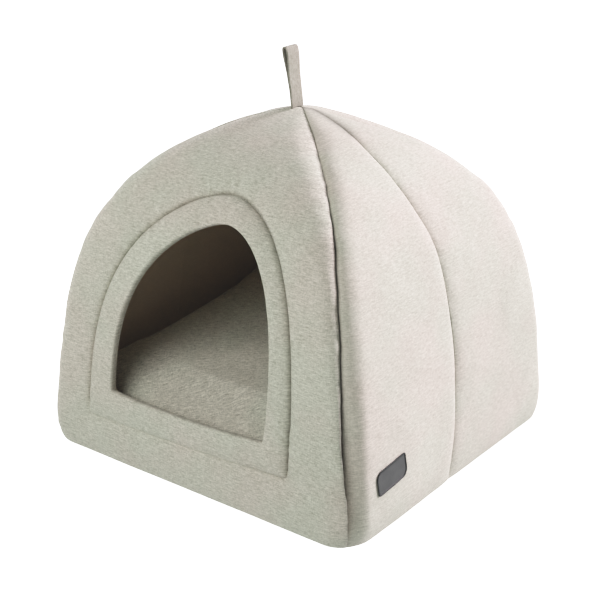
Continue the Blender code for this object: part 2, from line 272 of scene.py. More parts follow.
def rumple(x, y, pitch, seed):
    # the same over a surface
    knots = np.random.default_rng(seed).uniform(-1, 1, (surfaceKnots, surfaceKnots))
    x, y = x / pitch + surfaceStart, y / pitch + surfaceStart
    wholeX, wholeY = np.floor(x).astype(int), np.floor(y).astype(int)
    easeX, easeY = eased(x - wholeX), eased(y - wholeY)
    left, right = wholeX % surfaceKnots, (wholeX + 1) % surfaceKnots
    low, high = (
        knots[left, row % surfaceKnots] * (1 - easeX) + knots[right, row % surfaceKnots] * easeX
        for row in (wholeY, wholeY + 1)
    )
    return low * (1 - easeY) + high * easeY


def rumples(across, climb, rows, seed):
    # the padding's unevenness: rows of size and pitch
    return sum(
        size * rumple(across, climb, pitch, seed + number) for number, (size, pitch) in enumerate(rows))


def valley(distance, depth, reach, crease, tight=usualTight):
    # the dip beside a seam: a soft shoulder, and a tight crease at the thread
    return depth * ((1 - tight) * np.exp(-distance / reach) + tight * np.exp(-distance / crease))


def gathers(along, distance, size, pitch, reach, seed):
    # small puckers that run out from a seam, in groups
    usual, change, puckers = puckerGroups
    group = np.clip(usual + change * waver(along, pitch * puckers, seed + 1), 0.0, 1.0)
    fade = distance / reach * np.exp(1 - distance / reach)
    return size * waver(along, pitch, seed) * group * fade


def creaseDip(across, climb, start, end, width, depth):
    # one soft trough between two places on the cloth, shallower towards its end
    startX, startY = start
    runX, runY = end[0] - startX, end[1] - startY
    length = math.hypot(runX, runY)
    share = ((across - startX) * runX + (climb - startY) * runY) / length ** 2
    share = np.clip(share, 0.0, 1.0)
    away = np.hypot(across - startX - share * runX, climb - startY - share * runY)
    return depth * np.exp(-(away / width) ** 2) * (1 - creaseFade * share)


def withFootTurn(inset, climb):
    # the cloth turns in at the foot, less where a seam has drawn it in already
    roll = cave["footRoll"]
    left = np.clip(roll - climb, 0.0, roll)
    return inset + (roll - np.sqrt(roll ** 2 - left ** 2)) * (1 - np.clip(inset / roll, 0.0, 1.0))


def towardsEnds(count, pull=1.8):
    # shares from 0 to 1 that stand closer together near both ends
    t = np.linspace(-1.0, 1.0, count)
    return 0.5 + 0.5 * np.tanh(pull * t) / math.tanh(pull)


def putInScene(name, data):
    made = bpy.data.objects.new(name, data)
    bpy.context.scene.collection.objects.link(made)
    return made


def closedMesh(name, points, faces):
    # a mesh whose faces all look outwards
    mesh = bpy.data.meshes.new(name)
    mesh.from_pydata(points.reshape(-1, 3).tolist(), [], faces)
    shape = bmesh.new()
    shape.from_mesh(mesh)
    bmesh.ops.recalc_face_normals(shape, faces=shape.faces)
    shape.to_mesh(mesh)
    shape.free()
    return mesh


def dress(mesh, cloth, marks, finish):
    # cloth holds each point's place on the cloth, marks its attributes
    corners = np.zeros(len(mesh.loops), np.int32)
    mesh.loops.foreach_get("vertex_index", corners)
    layer = mesh.uv_layers.new(name="cloth")
    layer.data.foreach_set("uv", cloth.reshape(-1, 2)[corners].astype(np.float32).ravel())
    for mark, values in marks.items():
        attribute = mesh.attributes.new(mark, "FLOAT", "POINT")
        attribute.data.foreach_set("value", values.astype(np.float32).ravel())
    mesh.shade_smooth()
    mesh.materials.append(finish)


def makeCloth(name, points, faces, cloth, marks, finish, node):
    # a closed padded piece in the place of one CAD node
    mesh = closedMesh(name, points, faces)
    dress(mesh, cloth, marks, finish)
    made = putInScene(name, mesh)
    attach(made, "root")
    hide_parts(node)
    return made


def aroundFaces(count, rows, closed=True):
    # quads of a grid of rows, each a closed ring of count points
    grid = np.arange(rows * count).reshape(rows, count)
    if closed:
        grid = np.vstack([grid, grid[:1]])
    low, high = grid[:-1], grid[1:]
    quads = np.stack([low, np.roll(low, -1, 1), np.roll(high, -1, 1), high], axis=-1)
    return quads.reshape(-1, 4).tolist()


def tubeFaces(count, rows):
    # a grid of rows that are rings of count points, with both ends closed
    ends = [list(range(first, first + count)) for first in (0, (rows - 1) * count)]
    return aroundFaces(count, rows, closed=False) + ends


def addNode(tree, kind, settings=None, inputs=None):
    # inputs holds plain values and the outputs of other nodes
    made = tree.nodes.new(kind)
    for setting, value in (settings or {}).items():
        setattr(made, setting, value)
    for name, value in (inputs or {}).items():
        if isinstance(value, bpy.types.NodeSocket):
            tree.links.new(value, made.inputs[name])
        else:
            made.inputs[name].default_value = value
    return made


# Materials

class Wire:
    # a shader value that takes part in sums
    def __init__(self, finish, socket):
        self.finish = finish
        self.socket = socket

    def sum(self, operation, first, second):
        node = self.finish.node("ShaderNodeMath", {"operation": operation}, {0: first, 1: second})
        return Wire(self.finish, node.outputs[0])

    def __add__(self, other):
        return self.sum("ADD", self, other)

    def __radd__(self, other):
        return self.sum("ADD", other, self)

    def __sub__(self, other):
        return self.sum("SUBTRACT", self, other)

    def __rsub__(self, other):
        return self.sum("SUBTRACT", other, self)

    def __mul__(self, other):
        return self.sum("MULTIPLY", self, other)

    def __rmul__(self, other):
        return self.sum("MULTIPLY", other, self)

    def __truediv__(self, other):
        return self.sum("DIVIDE", self, other)

    def __rtruediv__(self, other):
        return self.sum("DIVIDE", other, self)


surface = {"sheenRoughness": 0.5, "shine": 0.25}


class Finish:
    # one material and the nodes in it
    def __init__(self, name, roughness, sheen=0.0):
        self.material = bpy.data.materials.new(name)
        self.material.use_nodes = True
        self.tree = self.material.node_tree
        self.shader = self.tree.nodes["Principled BSDF"]
        self.shader.inputs["Roughness"].default_value = roughness
        self.shader.inputs["Sheen Weight"].default_value = sheen
        self.shader.inputs["Sheen Roughness"].default_value = surface["sheenRoughness"]
        self.shader.inputs["Specular IOR Level"].default_value = surface["shine"]

    def node(self, kind, settings=None, inputs=None):
        inputs = {name: getattr(value, "socket", value) for name, value in (inputs or {}).items()}
        return addNode(self.tree, kind, settings, inputs)

    def wire(self, node, output=0):
        return Wire(self, node.outputs[output])

    def feed(self, name, wire):
        self.tree.links.new(wire.socket, self.shader.inputs[name])

    def clothPlace(self):
        place = self.node("ShaderNodeUVMap", {"uv_map": "cloth"})
        parts = self.node("ShaderNodeSeparateXYZ", inputs={0: self.wire(place)})
        return self.wire(parts, 0), self.wire(parts, 1)

    def vector(self, x, y, z=0.0):
        return self.wire(self.node("ShaderNodeCombineXYZ", inputs={0: x, 1: y, 2: z}))

    def noise(self, vector, scale, detail=2.0, roughness=0.5):
        inputs = {"Vector": vector, "Scale": scale, "Detail": detail, "Roughness": roughness}
        return self.wire(self.node("ShaderNodeTexNoise", inputs=inputs), "Fac")

    def ramp(self, value, low, high, start=0.0, end=1.0):
        settings = {"clamp": True}
        inputs = {"Value": value, "From Min": low, "From Max": high, "To Min": start, "To Max": end}
        return self.wire(self.node("ShaderNodeMapRange", settings, inputs))

    def wave(self, value, pitch):
        turned = value * (math.tau / pitch)
        return self.wire(self.node("ShaderNodeMath", {"operation": "SINE"}, {0: turned}))

    def mixed(self, parts, shares):
        # the parts added up, each by its share
        total = None
        for name, share in shares.items():
            part = parts[name] * share
            total = total + part if total else part
        return total

    def mark(self, name):
        return self.wire(self.node("ShaderNodeAttribute", {"attribute_name": name}), "Fac")

    def blend(self, factor, first, second, how="MIX"):
        settings = {"data_type": "RGBA", "blend_type": how, "clamp_factor": True}
        first, second = (value if isinstance(value, Wire) else (*value, 1.0) for value in (first, second))
        return self.wire(self.node("ShaderNodeMix", settings, {0: factor, 6: first, 7: second}), 2)

    def bump(self, height, strength, distance):
        inputs = {"Height": height, "Strength": strength, "Distance": distance}
        self.feed("Normal", self.wire(self.node("ShaderNodeBump", inputs=inputs)))


cloths = {
    "wall_fabric": {"light": (0.735, 0.700, 0.615), "dark": (0.365, 0.345, 0.285), "bump": 0.18},
    "cushion_fabric": {"light": (0.752, 0.738, 0.640), "dark": (0.300, 0.294, 0.240), "bump": 0.36,
                       "coarse": 1.2},
    "base_fabric": {"light": (0.400, 0.385, 0.345), "dark": (0.300, 0.285, 0.250), "bump": 0.5},
    "strap_fabric": {"light": (0.388, 0.371, 0.314), "dark": (0.230, 0.220, 0.178), "bump": 0.6},
}
weave = {
    "roughness": 0.92,
    "sheen": 0.12,
    "weftPitch": 0.00135,     # height of one thread across the cloth
    "warpPitch": 0.00125,
    # kinds of unevenness: width and height, layer of the noise, detail and roughness
    "noises": {
        "flecks": (0.0052, 0.0010, 0.0, 2.5, 0.6),
        "slubs": (0.013, 0.0018, 7.0, 1.5, 0.5),
        "upright": (0.0013, 0.0042, 3.0, 2.0, 0.5),
        "grain": (0.0012, 0.0012, 11.0, 1.0, 0.5),
        "patches": (0.045, 0.045, 0.5, 2.0, 0.5),
        "tint": (0.072, 0.072, 4.5, 1.5, 0.5),
    },
    # how much each of these lightens and darkens the yarn, and how much it stands out
    "uneven": {"flecks": 1.70, "slubs": 0.80, "upright": 0.70, "grain": 0.80, "threads": 0.04},
    "raised": {"flecks": 0.9, "slubs": 0.7, "threads": 0.14, "weft": 0.06, "upright": 0.25},
    "calm": 0.30,             # how much fainter the weave is painted on the side and back walls, standing in for the washout of the bright light on the lit wall
    "patchShare": 0.20,
    "tintSpan": (0.38, 0.62),           # values of the noise that are wholly cool and wholly warm
    "warm": (1.038, 0.992, 0.992),
    "cool": (0.982, 1.006, 0.980),
    # the painted shade along seams, in their gaps and on hidden faces: its colour and share
    "seam": (0.085, 0.075, 0.060),
    "seamShadeShare": 0.80,
    # the painted shade of the cave's interior, darker and warmer: its colour and share
    "interiorShade": (0.66, 0.450, 0.262),
    "shareOfInteriorShade": 0.52,
    "sway": 0.0009,           # how far the threads wander
    "swayScale": 180.0,
    "swayLayer": 2.5,
    "matt": (0.2, 0.8, 0.97, 0.86),     # from the darkest to the lightest flecks
    "depth": 0.00045,
}


def wovenCloth(name):
    # linen-look cloth whose threads and flecks follow the piece's own cloth map
    tone = cloths[name]
    finish = Finish(name, weave["roughness"], weave["sheen"])
    across, climb = finish.clothPlace()
    across = across * (1 / tone.get("coarse", 1.0))
    climb = climb * (1 / tone.get("coarse", 1.0))
    parts = {}
    for kind, (width, height, layer, detail, rough) in weave["noises"].items():
        if width == height:
            place, scale = finish.vector(across, climb, layer), 1 / width
        else:
            place, scale = finish.vector(across / width, climb / height, layer), 1.0
        parts[kind] = finish.noise(place, scale, detail, rough)
    sway = finish.noise(finish.vector(across, climb, weave["swayLayer"]), weave["swayScale"], 1.0)
    parts["weft"] = finish.wave(climb + sway * weave["sway"], weave["weftPitch"])
    parts["threads"] = parts["weft"] * finish.wave(across + sway * weave["sway"], weave["warpPitch"])
    aroundNought = {kind: parts[kind] - 0.5 for kind in weave["noises"]}
    uneven = finish.mixed({**parts, **aroundNought}, weave["uneven"])
    # the side and back walls' weave painted fainter, standing in for the washout of bright light
    calm = 1 - finish.mark("calm") * weave["calm"]
    lightness = 0.5 + uneven * calm + aroundNought["patches"] * weave["patchShare"]
    yarn = finish.blend(finish.ramp(lightness, 0.0, 1.0), tone["dark"], tone["light"])
    warmth = finish.blend(finish.ramp(parts["tint"], *weave["tintSpan"]), weave["cool"], weave["warm"])
    yarn = finish.blend(1.0, yarn, warmth, "MULTIPLY")
    # painted shade along the seams, in their gaps and on hidden faces
    yarn = finish.blend(finish.mark("seam") * weave["seamShadeShare"], yarn, weave["seam"])
    # painted shade, darker and warmer, on the cave's interior faces
    yarn = finish.blend(finish.mark("interiorShade") * weave["shareOfInteriorShade"], yarn, weave["interiorShade"])
    finish.feed("Base Color", yarn)
    finish.feed("Roughness", finish.ramp(parts["flecks"], *weave["matt"]))
    finish.bump(finish.mixed(parts, weave["raised"]), tone["bump"], weave["depth"])
    return finish.material


finishes = {name: wovenCloth(name) for name in cloths}
print("cloth finishes made")


# The front wall: a padded panel with an arched doorway and a quilted rim

frontWall = {
    # doorway lines: middle and half width, heights of the sill and crown along the cloth, how far the
    # sill's two ends stand above its height, how much it sags, how far its right end is in,
    # and how far its crown stands back to the left
    "hole": (-0.0010, 0.1035, 0.0820, 0.2900, (0.0020, 0.0068), 0.0040, 0.0035, 0.0020),
    "stitching": (-0.0068, 0.1338, 0.053, 0.3240, (-0.0046, 0.0048), 0.0024, 0.0, 0.0060),
    "lean": 0.0212,           # how far the crown stands to the side of the sill's middle
    "side": 2.7,              # how long the sides stay upright
    "top": 1.62,              # how round the crown is
    "archSteps": 400,
    "sillSteps": 150 if fine else 80,
    "sideSteps": 190 if fine else 90,
    "rounding": 4 if fine else 1,
    # rings of points on the rim, the panel round it and the hidden face, and how much closer
    # together they stand at their ends
    "rimRings": (38 if fine else 24, 1.5),
    "panelRings": (64 if fine else 36, 1.9),
    "innerRings": (22 if fine else 14, 1.2),
    "jambWidth": 0.0022,      # the cloth's turn into the doorway
    "jambDepth": 0.0030,
    "jambRound": 2.2,
    "taper": 0.022,           # how far behind the rim the padding thins out
    "backSeam": (0.0016, 0.004),        # height and reach of the hidden face's seam
    "shade": (0.002, 0.012),  # where the painted interior shade starts behind the doorway, and its run
    "rimPuff": 0.0003,
    "puffRun": (0.010, 0.012),          # from the doorway, and from the stitching
    "asideRun": 0.26,         # from all left to all right
    "stitchDepth": 0.0085,
    "stitchSides": (0.85, 0.2),         # share of that on the left, and what is more on the right
    "stitchReach": 0.0080,
    "sillDepth": (0.0038, 0.0054),
    "sillClear": 0.002,       # how far above the sill its groove starts to turn into the arch's
    "sillRun": 0.014,
    "sillTight": 0.0,         # how much of the sill's groove is a crease
    "rimShadeRight": 0.70,        # how dark the painted shade along the rim's seam is, right, left, along the sill
    "rimShadeLeft": 0.22,
    "sillShade": 0.0,
    "crease": 0.0016,
    "rightFoot": (0.08, 0.07, 0.15),    # the foot of the right corner seam, as in seamLooks
    "fill": 0.0048,
    "fillWidth": 0.024,
    "fillStart": (0.004, 0.022),
    "fillEnd": (0.12, 0.09),
    "leftSeamShade": 0.3,          # how dark the painted shade along the left corner seam is beside the right one
    # puckers along the stitching and the doorway's edge: size, pitch, reach, seed
    "stitchPuckers": ((0.0011, 0.0055, 0.0040, 11), (0.0010, 0.0140, 0.0090, 12)),
    "edgePuckers": (0.0007, 0.0070, 0.0040, 23),
    "rumples": ((0.0006, 0.055), (0.0003, 0.022)),
    "rumpleSeed": 31,
    # creases that show above and under the crown: start, end, width, depth
    "creases": (
        ((-0.0225, 0.3175), (-0.0285, 0.3290), 0.0016, 0.0020),
        ((-0.0100, 0.3190), (-0.0135, 0.3330), 0.0015, 0.0022),
        ((-0.0020, 0.3200), (-0.0040, 0.3270), 0.0013, 0.0012),
        ((0.0035, 0.3210), (0.0000, 0.3340), 0.0017, 0.0026),
        ((0.0100, 0.3340), (0.0060, 0.3540), 0.0034, 0.0016),
        ((0.0330, 0.3230), (0.0330, 0.3560), 0.0050, 0.0012),
        ((0.0545, 0.3300), (0.0540, 0.3560), 0.0060, 0.0009),
        ((-0.0380, 0.3090), (-0.0420, 0.3180), 0.0020, 0.0010),
        ((-0.0040, 0.2880), (-0.0085, 0.2970), 0.0016, 0.0014),
        ((0.0060, 0.2920), (0.0035, 0.3010), 0.0015, 0.0013),
        ((-0.0140, 0.2840), (-0.0200, 0.2920), 0.0018, 0.0012),
        ((0.0160, 0.2935), (0.0160, 0.3010), 0.0016, 0.0009),
    ),
}


def doorLine(which):
    # one line round the doorway: the sill from left to right, then the arch back to the left
    offset, halfWidth, sill, crown, ends, sag, tuck, back = frontWall[which]
    share = np.sin(np.linspace(0.0, math.pi / 2, frontWall["archSteps"]))
    half = halfWidth * (1 - share ** frontWall["side"]) ** (1 / frontWall["top"])
    middle = offset + frontWall["lean"] * share ** 2 - back * share ** 4
    lines = []
    for side in (1, -1):
        climb = sill + share * (crown - sill) + ends[side > 0] * (1 - share) ** 3
        across = middle + side * half - (tuck * (1 - share) ** 5 if side > 0 else 0.0)
        lines.append(respaced(np.stack([across, climb], axis=1), frontWall["sideSteps"] + 1))
    right, left = lines
    step = np.linspace(0.0, 1.0, frontWall["sillSteps"], endpoint=False)[:, None]
    bottom = left[0] + step * (right[0] - left[0])
    bottom[:, 1] -= sag * np.sin(math.pi * step[:, 0])
    line = np.vstack([bottom, right, left[-2:0:-1]])
    for _ in range(frontWall["rounding"]):
        line = 0.25 * np.roll(line, 1, axis=0) + 0.5 * line + 0.25 * np.roll(line, -1, axis=0)
    return line


def frontEdge():
    # the panel's own edge, matched point by point to a doorway line
    climbs = np.linspace(0.0, clothRun, frontWall["sideSteps"] + 1)
    right = np.stack([seamAcross("front", 1, climbs), climbs], axis=1)
    left = np.stack([-seamAcross("front", -1, climbs), climbs], axis=1)
    right[-1, 0] = 0.0
    step = np.linspace(0.0, 1.0, frontWall["sillSteps"], endpoint=False)[:, None]
    return np.vstack([left[0] + step * (right[0] - left[0]), right, left[-2:0:-1]])


def lineDistance(points, line, batch=1500):
    # shortest distance from each point to a closed line
    flat = points.reshape(-1, 2)
    run = np.roll(line, -1, axis=0) - line
    length = (run ** 2).sum(axis=1)
    found = np.empty(len(flat))
    for start in range(0, len(flat), batch):
        away = flat[start:start + batch, None] - line
        share = np.clip((away * run).sum(axis=2) / length, 0.0, 1.0)
        away -= share[..., None] * run
        found[start:start + batch] = np.sqrt((away ** 2).sum(axis=2).min(axis=1))
    return found.reshape(points.shape[:-1])


def cornerDip(wall, side, across, climb):
    # the dip along a corner seam, shallower where the panel narrows to the peak
    corner = cornerOf[wall, side]
    look = seamLooks[corner]
    height = atClimb("up", climb)
    distance = seamDistance(wall, side, across, climb)
    narrow = narrowing(wall, side, climb)
    depth, reach, crease = walls[wall]["seam"]
    footShare, *footSpan = look["foot"]
    peakChange, *peakSpan = look["peak"]
    if (wall, side) == ("front", 1):
        reach = curveThrough(frontRoll, height)
        footShare, *footSpan = frontWall["rightFoot"]
    foot = between((footShare, 1.0), rising(climb, footSpan))
    loose = look["depth"] + peakChange * rising(climb, peakSpan)
    tight = usualTight * look["tight"] * curveThrough(seamPull, height)
    dip = valley(distance, depth * loose * narrow * foot, reach * np.sqrt(narrow), crease, tight)
    seed = 40 + 7 * sorted(cornerSeams).index(corner) + (wall in ("left", "right"))
    for size, pitch, length, extra in seamPuckers:
        dip = dip + gathers(climb, distance, size * look["pucker"] * narrow, pitch, length, seed + extra)
    return dip


def cornerFill(across, climb):
    # the front wall stays nearly flat up to its right seam in the lower part
    share = np.clip(1 - seamDistance("front", 1, across, climb) / frontWall["fillWidth"], 0.0, 1.0)
    low = rising(climb, frontWall["fillStart"]) * (1 - rising(climb, frontWall["fillEnd"]))
    return frontWall["fill"] * low * share ** 2


def towardsRight(across):
    return np.clip(0.5 + across / frontWall["asideRun"], 0.0, 1.0)


def aboveSill(climb, clear=0.0):
    # grows from 0 at the sill's groove to 1 on the arch
    return np.clip((climb - frontWall["stitching"][2] - clear) / frontWall["sillRun"], 0.0, 1.0)


def jambCurve(share):
    # the round turn of the cloth into the doorway
    return 1 - np.sqrt(np.maximum(1 - share ** frontWall["jambRound"], 0.0))


def frontInset(places, toHole, toStitch, onRim, along):
    # how far in the front wall's face is at each place
    across, climb = places[..., 0], places[..., 1]
    dip = np.where(
        across >= 0, cornerDip("front", 1, across, climb), cornerDip("front", -1, across, climb))
    aside = towardsRight(across)
    arch = aboveSill(climb, frontWall["sillClear"])
    leftShare, rightMore = frontWall["stitchSides"]
    archDepth = frontWall["stitchDepth"] * (leftShare + rightMore * aside)
    depth = between((between(frontWall["sillDepth"], aside), archDepth), arch)
    tight = between((frontWall["sillTight"], usualTight), arch)
    dip = dip + valley(toStitch, depth, frontWall["stitchReach"], frontWall["crease"], tight)
    dip = dip - cornerFill(across, climb)
    for size, pitch, reach, seed in frontWall["stitchPuckers"]:
        dip = dip + gathers(along, toStitch, size, pitch, reach, seed)
    into = np.clip(1 - toHole / frontWall["jambWidth"], 0.0, 1.0) * onRim
    dip = dip + frontWall["jambDepth"] * jambCurve(into)
    dip = dip + gathers(along, toHole, *frontWall["edgePuckers"]) * onRim
    fromHole, fromStitch = frontWall["puffRun"]
    puff = np.clip(toHole / fromHole, 0.0, 1.0) * np.clip(toStitch / fromStitch, 0.0, 1.0)
    dip = dip - frontWall["rimPuff"] * puff * onRim
    for start, end, width, depth in frontWall["creases"]:
        dip = dip + creaseDip(across, climb, start, end, width, depth)
    dip = dip + rumples(across, climb, frontWall["rumples"], frontWall["rumpleSeed"])
    return withFootTurn(dip, climb)


def ringsBetween(start, end, rings):
    return between((start, end), towardsEnds(*rings)[:, None, None])


def turnShares():
    # shares of the way from a panel's outer face to its hidden one
    return np.linspace(0.0, 1.0, cave["turnSteps"] + 2)[1:-1]


def frontInnerInset(inner, hole, edge):
    # how far in the hidden face is: thin behind the doorway, and drawn out at the seam
    thickness = cave["thickness"]
    taper = np.clip(1 - lineDistance(inner, hole) / frontWall["taper"], 0.0, 1.0)
    height, reach = frontWall["backSeam"]
    drawn = height * np.exp(-lineDistance(inner, edge) / reach)
    return thickness - (thickness - frontWall["jambDepth"]) * jambCurve(taper) - drawn


def frontSeamShade(outer, toStitch, edge):
    # painted shade along the doorway's stitching and the front wall's corner seams
    across, climb = outer[..., 0], outer[..., 1]
    arch = between((frontWall["rimShadeLeft"], frontWall["rimShadeRight"]), towardsRight(across))
    pull = between((frontWall["sillShade"], arch), aboveSill(climb))
    corner = curveThrough(seamPull, atClimb("up", climb))
    corner = corner * np.where(across > 0, 1.0, frontWall["leftSeamShade"])
    return pull * np.exp(-toStitch / seamShadeWidth) + corner * np.exp(-lineDistance(outer, edge) / seamShadeWidth)


def buildFrontWall():
    hole, stitching, edge = doorLine("hole"), doorLine("stitching"), frontEdge()
    rimRings = frontWall["rimRings"][0]
    steps = np.linalg.norm(np.roll(stitching, -1, axis=0) - stitching, axis=1)
    along = np.concatenate([[0.0], np.cumsum(steps)[:-1]])
    rim = ringsBetween(hole, stitching, frontWall["rimRings"])
    outer = np.concatenate([rim, ringsBetween(stitching, edge, frontWall["panelRings"])[1:]])
    onRim = np.zeros(outer.shape[:2])
    onRim[:rimRings] = 1.0
    toHole = lineDistance(outer, hole)
    toStitch = lineDistance(outer, stitching)
    inset = frontInset(outer, toHole, toStitch, onRim, along)
    turned = between((inset[-1], cave["thickness"]), turnShares()[:, None])
    inner = ringsBetween(edge, hole, frontWall["innerRings"])[:-1]
    places = np.concatenate([outer, np.repeat(edge[None], len(turned), axis=0), inner])
    insets = np.concatenate([inset, turned, frontInnerInset(inner, hole, edge)])
    points = wallPoint("front", places[..., 0], places[..., 1], insets)
    # painted shade: the darker, warmer interior behind the doorway, and darker cloth along the seams, on
    # the cut edge and on the hidden face
    interiorShade = np.zeros(places.shape[:2])
    interiorShade[-len(inner):] = rising(lineDistance(inner, hole), frontWall["shade"])
    seam = np.zeros(places.shape[:2])
    seam[:len(outer)] = frontSeamShade(outer, toStitch, edge)
    seam[len(outer):-len(inner)] = seamGapShade
    seam[-len(inner):] = hiddenFaceShade * interiorShade[-len(inner):]
    faces = aroundFaces(len(hole), len(places))
    marks = {"interiorShade": interiorShade, "seam": np.minimum(seam, 1.0)}
    made = makeCloth(
        "front_wall_cloth", points, faces, places, marks, finishes["wall_fabric"], "front_wall")
    return stitching, inset[rimRings - 1]


stitchLine, stitchInset = buildFrontWall()
print("front wall made")


# The side walls, each of two padded halves, and the back wall

panels = {
    "columns": 96 if fine else 50,
    "rows": 200 if fine else 90,
    "footRows": 10,
    "rumples": ((0.0006, 0.050), (0.0003, 0.020)),
    "middleDepth": 0.0031,
    "middleFoot": (0.35, 0.0, 0.018),   # its foot, as in seamLooks
    "middleReach": 0.0066,
    "middleCrease": 0.0015,
    "middleTight": 0.08,
    "middleMost": 0.5,        # the nearest it comes to the corner, as a share of the way
    "middlePuckers": (0.0005, 0.0070, 0.0050),
    "middleShadeDepth": 1.0,        # how dark the painted shade along it is near the peak, where that starts, and its run
    "middleShadeSpan": (0.336, 0.018),
    "middleShadeWidening": 0.0035,    # how much wider the painted shade line gets there
}

# How far the lower front half of the right wall stands out, and where: its top, its foot, its rear
# end, and beside the corner seam
swell = {"size": 0.0046, "top": (0.10, 0.12), "foot": (0.45, 0.0, 0.03), "rear": (0.08, 0.09),
         "seam": (0.004, 0.0195)}

clothInsets = {}              # how far each panel's face is in, as a function of the place


def panelRows():
    foot = cave["footRoll"] * np.linspace(0.0, 1.0, panels["footRows"], endpoint=False) ** 2
    return np.concatenate([foot, np.linspace(cave["footRoll"], clothRun, panels["rows"])])


def panelEnd(ring, columns, turns):
    # the faces that close a panel's foot or top: its outer face, a turn, its hidden face, a turn
    outer, hidden = ring[:columns], ring[columns + turns:2 * columns + turns][::-1]
    faces = [[outer[k], outer[k + 1], hidden[k + 1], hidden[k]] for k in range(columns - 1)]
    faces.append([outer[-1], *ring[columns:columns + turns], hidden[-1]])
    faces.append([hidden[0], *ring[2 * columns + turns:], outer[0]])
    return faces


def buildPanel(node, wall, fromEdge, toEdge, dips, seamShadeKinds, seed):
    # a padded panel between two seams: fromEdge and toEdge give a seam's place across at a climb,
    # and the seam shade kinds say of each which kind of seam it is and how dark its painted shade is
    # beside the others
    climbs = panelRows()
    shares = towardsEnds(panels["columns"])
    start, end = fromEdge(climbs)[:, None], toEdge(climbs)[:, None]
    across = start + shares * (end - start)
    climb = np.repeat(climbs[:, None], len(shares), axis=1)

    def clothInset(across, climb):
        return withFootTurn(dips(across, climb) + rumples(across, climb, panels["rumples"], seed), climb)

    clothInsets[node] = clothInset
    inset = clothInset(across, climb)
    columns, turns = panels["columns"], cave["turnSteps"]
    outer = wallPoint(wall, across, climb, inset)
    hidden = wallPoint(wall, across, climb, np.full_like(across, cave["thickness"]))
    cuts = []
    for column, steps in ((-1, turnShares()), (0, turnShares()[::-1])):
        place = np.repeat(across[:, column, None], turns, axis=1)
        depths = between((inset[:, column, None], cave["thickness"]), steps)
        cuts.append((place, wallPoint(wall, place, climb[:, :turns], depths)))
    (endPlaces, endCut), (startPlaces, startCut) = cuts
    points = np.concatenate([outer, endCut, hidden[:, ::-1], startCut], axis=1)
    places = np.concatenate([across, endPlaces, across[:, ::-1], startPlaces], axis=1)
    cloth = np.stack([places, np.repeat(climbs[:, None], places.shape[1], axis=1)], axis=-1)
    rows, count = places.shape
    faces = aroundFaces(count, rows, closed=False)
    for first in (0, (rows - 1) * count):
        faces += panelEnd(list(range(first, first + count)), columns, turns)
    # painted shade: darker, warmer cloth on the hidden face, darker cloth on the cut sides and along the
    # middle and corner seams
    interiorShade = np.zeros((rows, count))
    interiorShade[:, columns + turns:-turns] = 1.0
    height = atClimb("up", climb)
    peak = rising(height, panels["middleShadeSpan"])
    shadeByKind = {"middle": peak * panels["middleShadeDepth"], "corner": curveThrough(seamPull, height)}
    (fromSeam, fromShare), (toSeam, toShare) = seamShadeKinds
    width = seamShadeWidth + panels["middleShadeWidening"] * peak
    seam = between((seamGapShade, hiddenFaceShade), interiorShade)
    seam[:, :columns] = (
        shadeByKind[fromSeam] * fromShare * np.exp(-np.abs(across - start) / width)
        + shadeByKind[toSeam] * toShare * np.exp(-np.abs(end - across) / seamShadeWidth)
    )
    # the weave is painted fainter on the side and back walls, standing in for the bright light's washout
    marks = {"interiorShade": interiorShade, "seam": seam, "calm": np.ones_like(seam)}
    made = makeCloth(node + "_cloth", points, faces, cloth, marks, finishes["wall_fabric"], node)


def sideSwell(across, climb):
    # the lower front half of the right wall stands out a little between its two seams
    away = seamDistance("right", -1, across, climb)
    footShare, *footSpan = swell["foot"]
    low = (1 - rising(climb, swell["top"])) * between((footShare, 1.0), rising(climb, footSpan))
    return swell["size"] * low * (1 - rising(away, swell["rear"])) * rising(away, swell["seam"])


def buildHalf(wall, side):
    # one half of a side wall, from its middle seam to a corner seam
    part = "front" if walls[wall]["across"][1] * side < 0 else "rear"

    def middle(climb):
        place = curveThrough(middleSeams[wall], atClimb("up", climb))
        most = panels["middleMost"] * seamAcross(wall, side, climb)
        return np.clip(place, -most, most) + side * cave["gap"] / 2

    def corner(climb):
        return side * seamAcross(wall, side, climb)

    def dips(across, climb):
        step = cave["slopeStep"]
        lean = (middle(climb + step) - middle(climb - step)) / (2 * step)
        distance = np.abs(across - middle(climb)) / np.sqrt(1 + lean ** 2)
        narrow = narrowing(wall, side, climb)
        footShare, *footSpan = panels["middleFoot"]
        depth = panels["middleDepth"] * narrow * between((footShare, 1.0), rising(climb, footSpan))
        reach = panels["middleReach"] * np.sqrt(narrow)
        dip = valley(distance, depth, reach, panels["middleCrease"], panels["middleTight"])
        size, pitch, length = panels["middlePuckers"]
        dip = dip + gathers(climb, distance, size * narrow, pitch, length, 90 + 5 * side)
        if (wall, side) == ("right", -1):
            dip = dip - sideSwell(across, climb)
        return dip + cornerDip(wall, side, across, climb)

    node = f"{wall}_wall_{part}"
    # the left front corner seam's painted shade is lighter than the right one's
    cornerShare = frontWall["leftSeamShade"] if cornerOf[wall, side] == "frontLeft" else 1.0
    seamShadeKinds = (("middle", 1.0), ("corner", cornerShare))
    buildPanel(node, wall, middle, corner, dips, seamShadeKinds, 200 + 10 * len(node) + 3 * side)


def buildBack():
    def left(climb):
        return -seamAcross("back", -1, climb)

    def right(climb):
        return seamAcross("back", 1, climb)

    def dips(across, climb):
        return np.where(
            across > 0, cornerDip("back", 1, across, climb), cornerDip("back", -1, across, climb))

    buildPanel("back_wall", "back", left, right, dips, (("corner", 1.0), ("corner", 1.0)), 300)


for wallName in ("right", "left"):
    for sideSign in (-1, 1):
        buildHalf(wallName, sideSign)
buildBack()
print("side and back walls made")


# The floor of the cave and the loose cushion on it

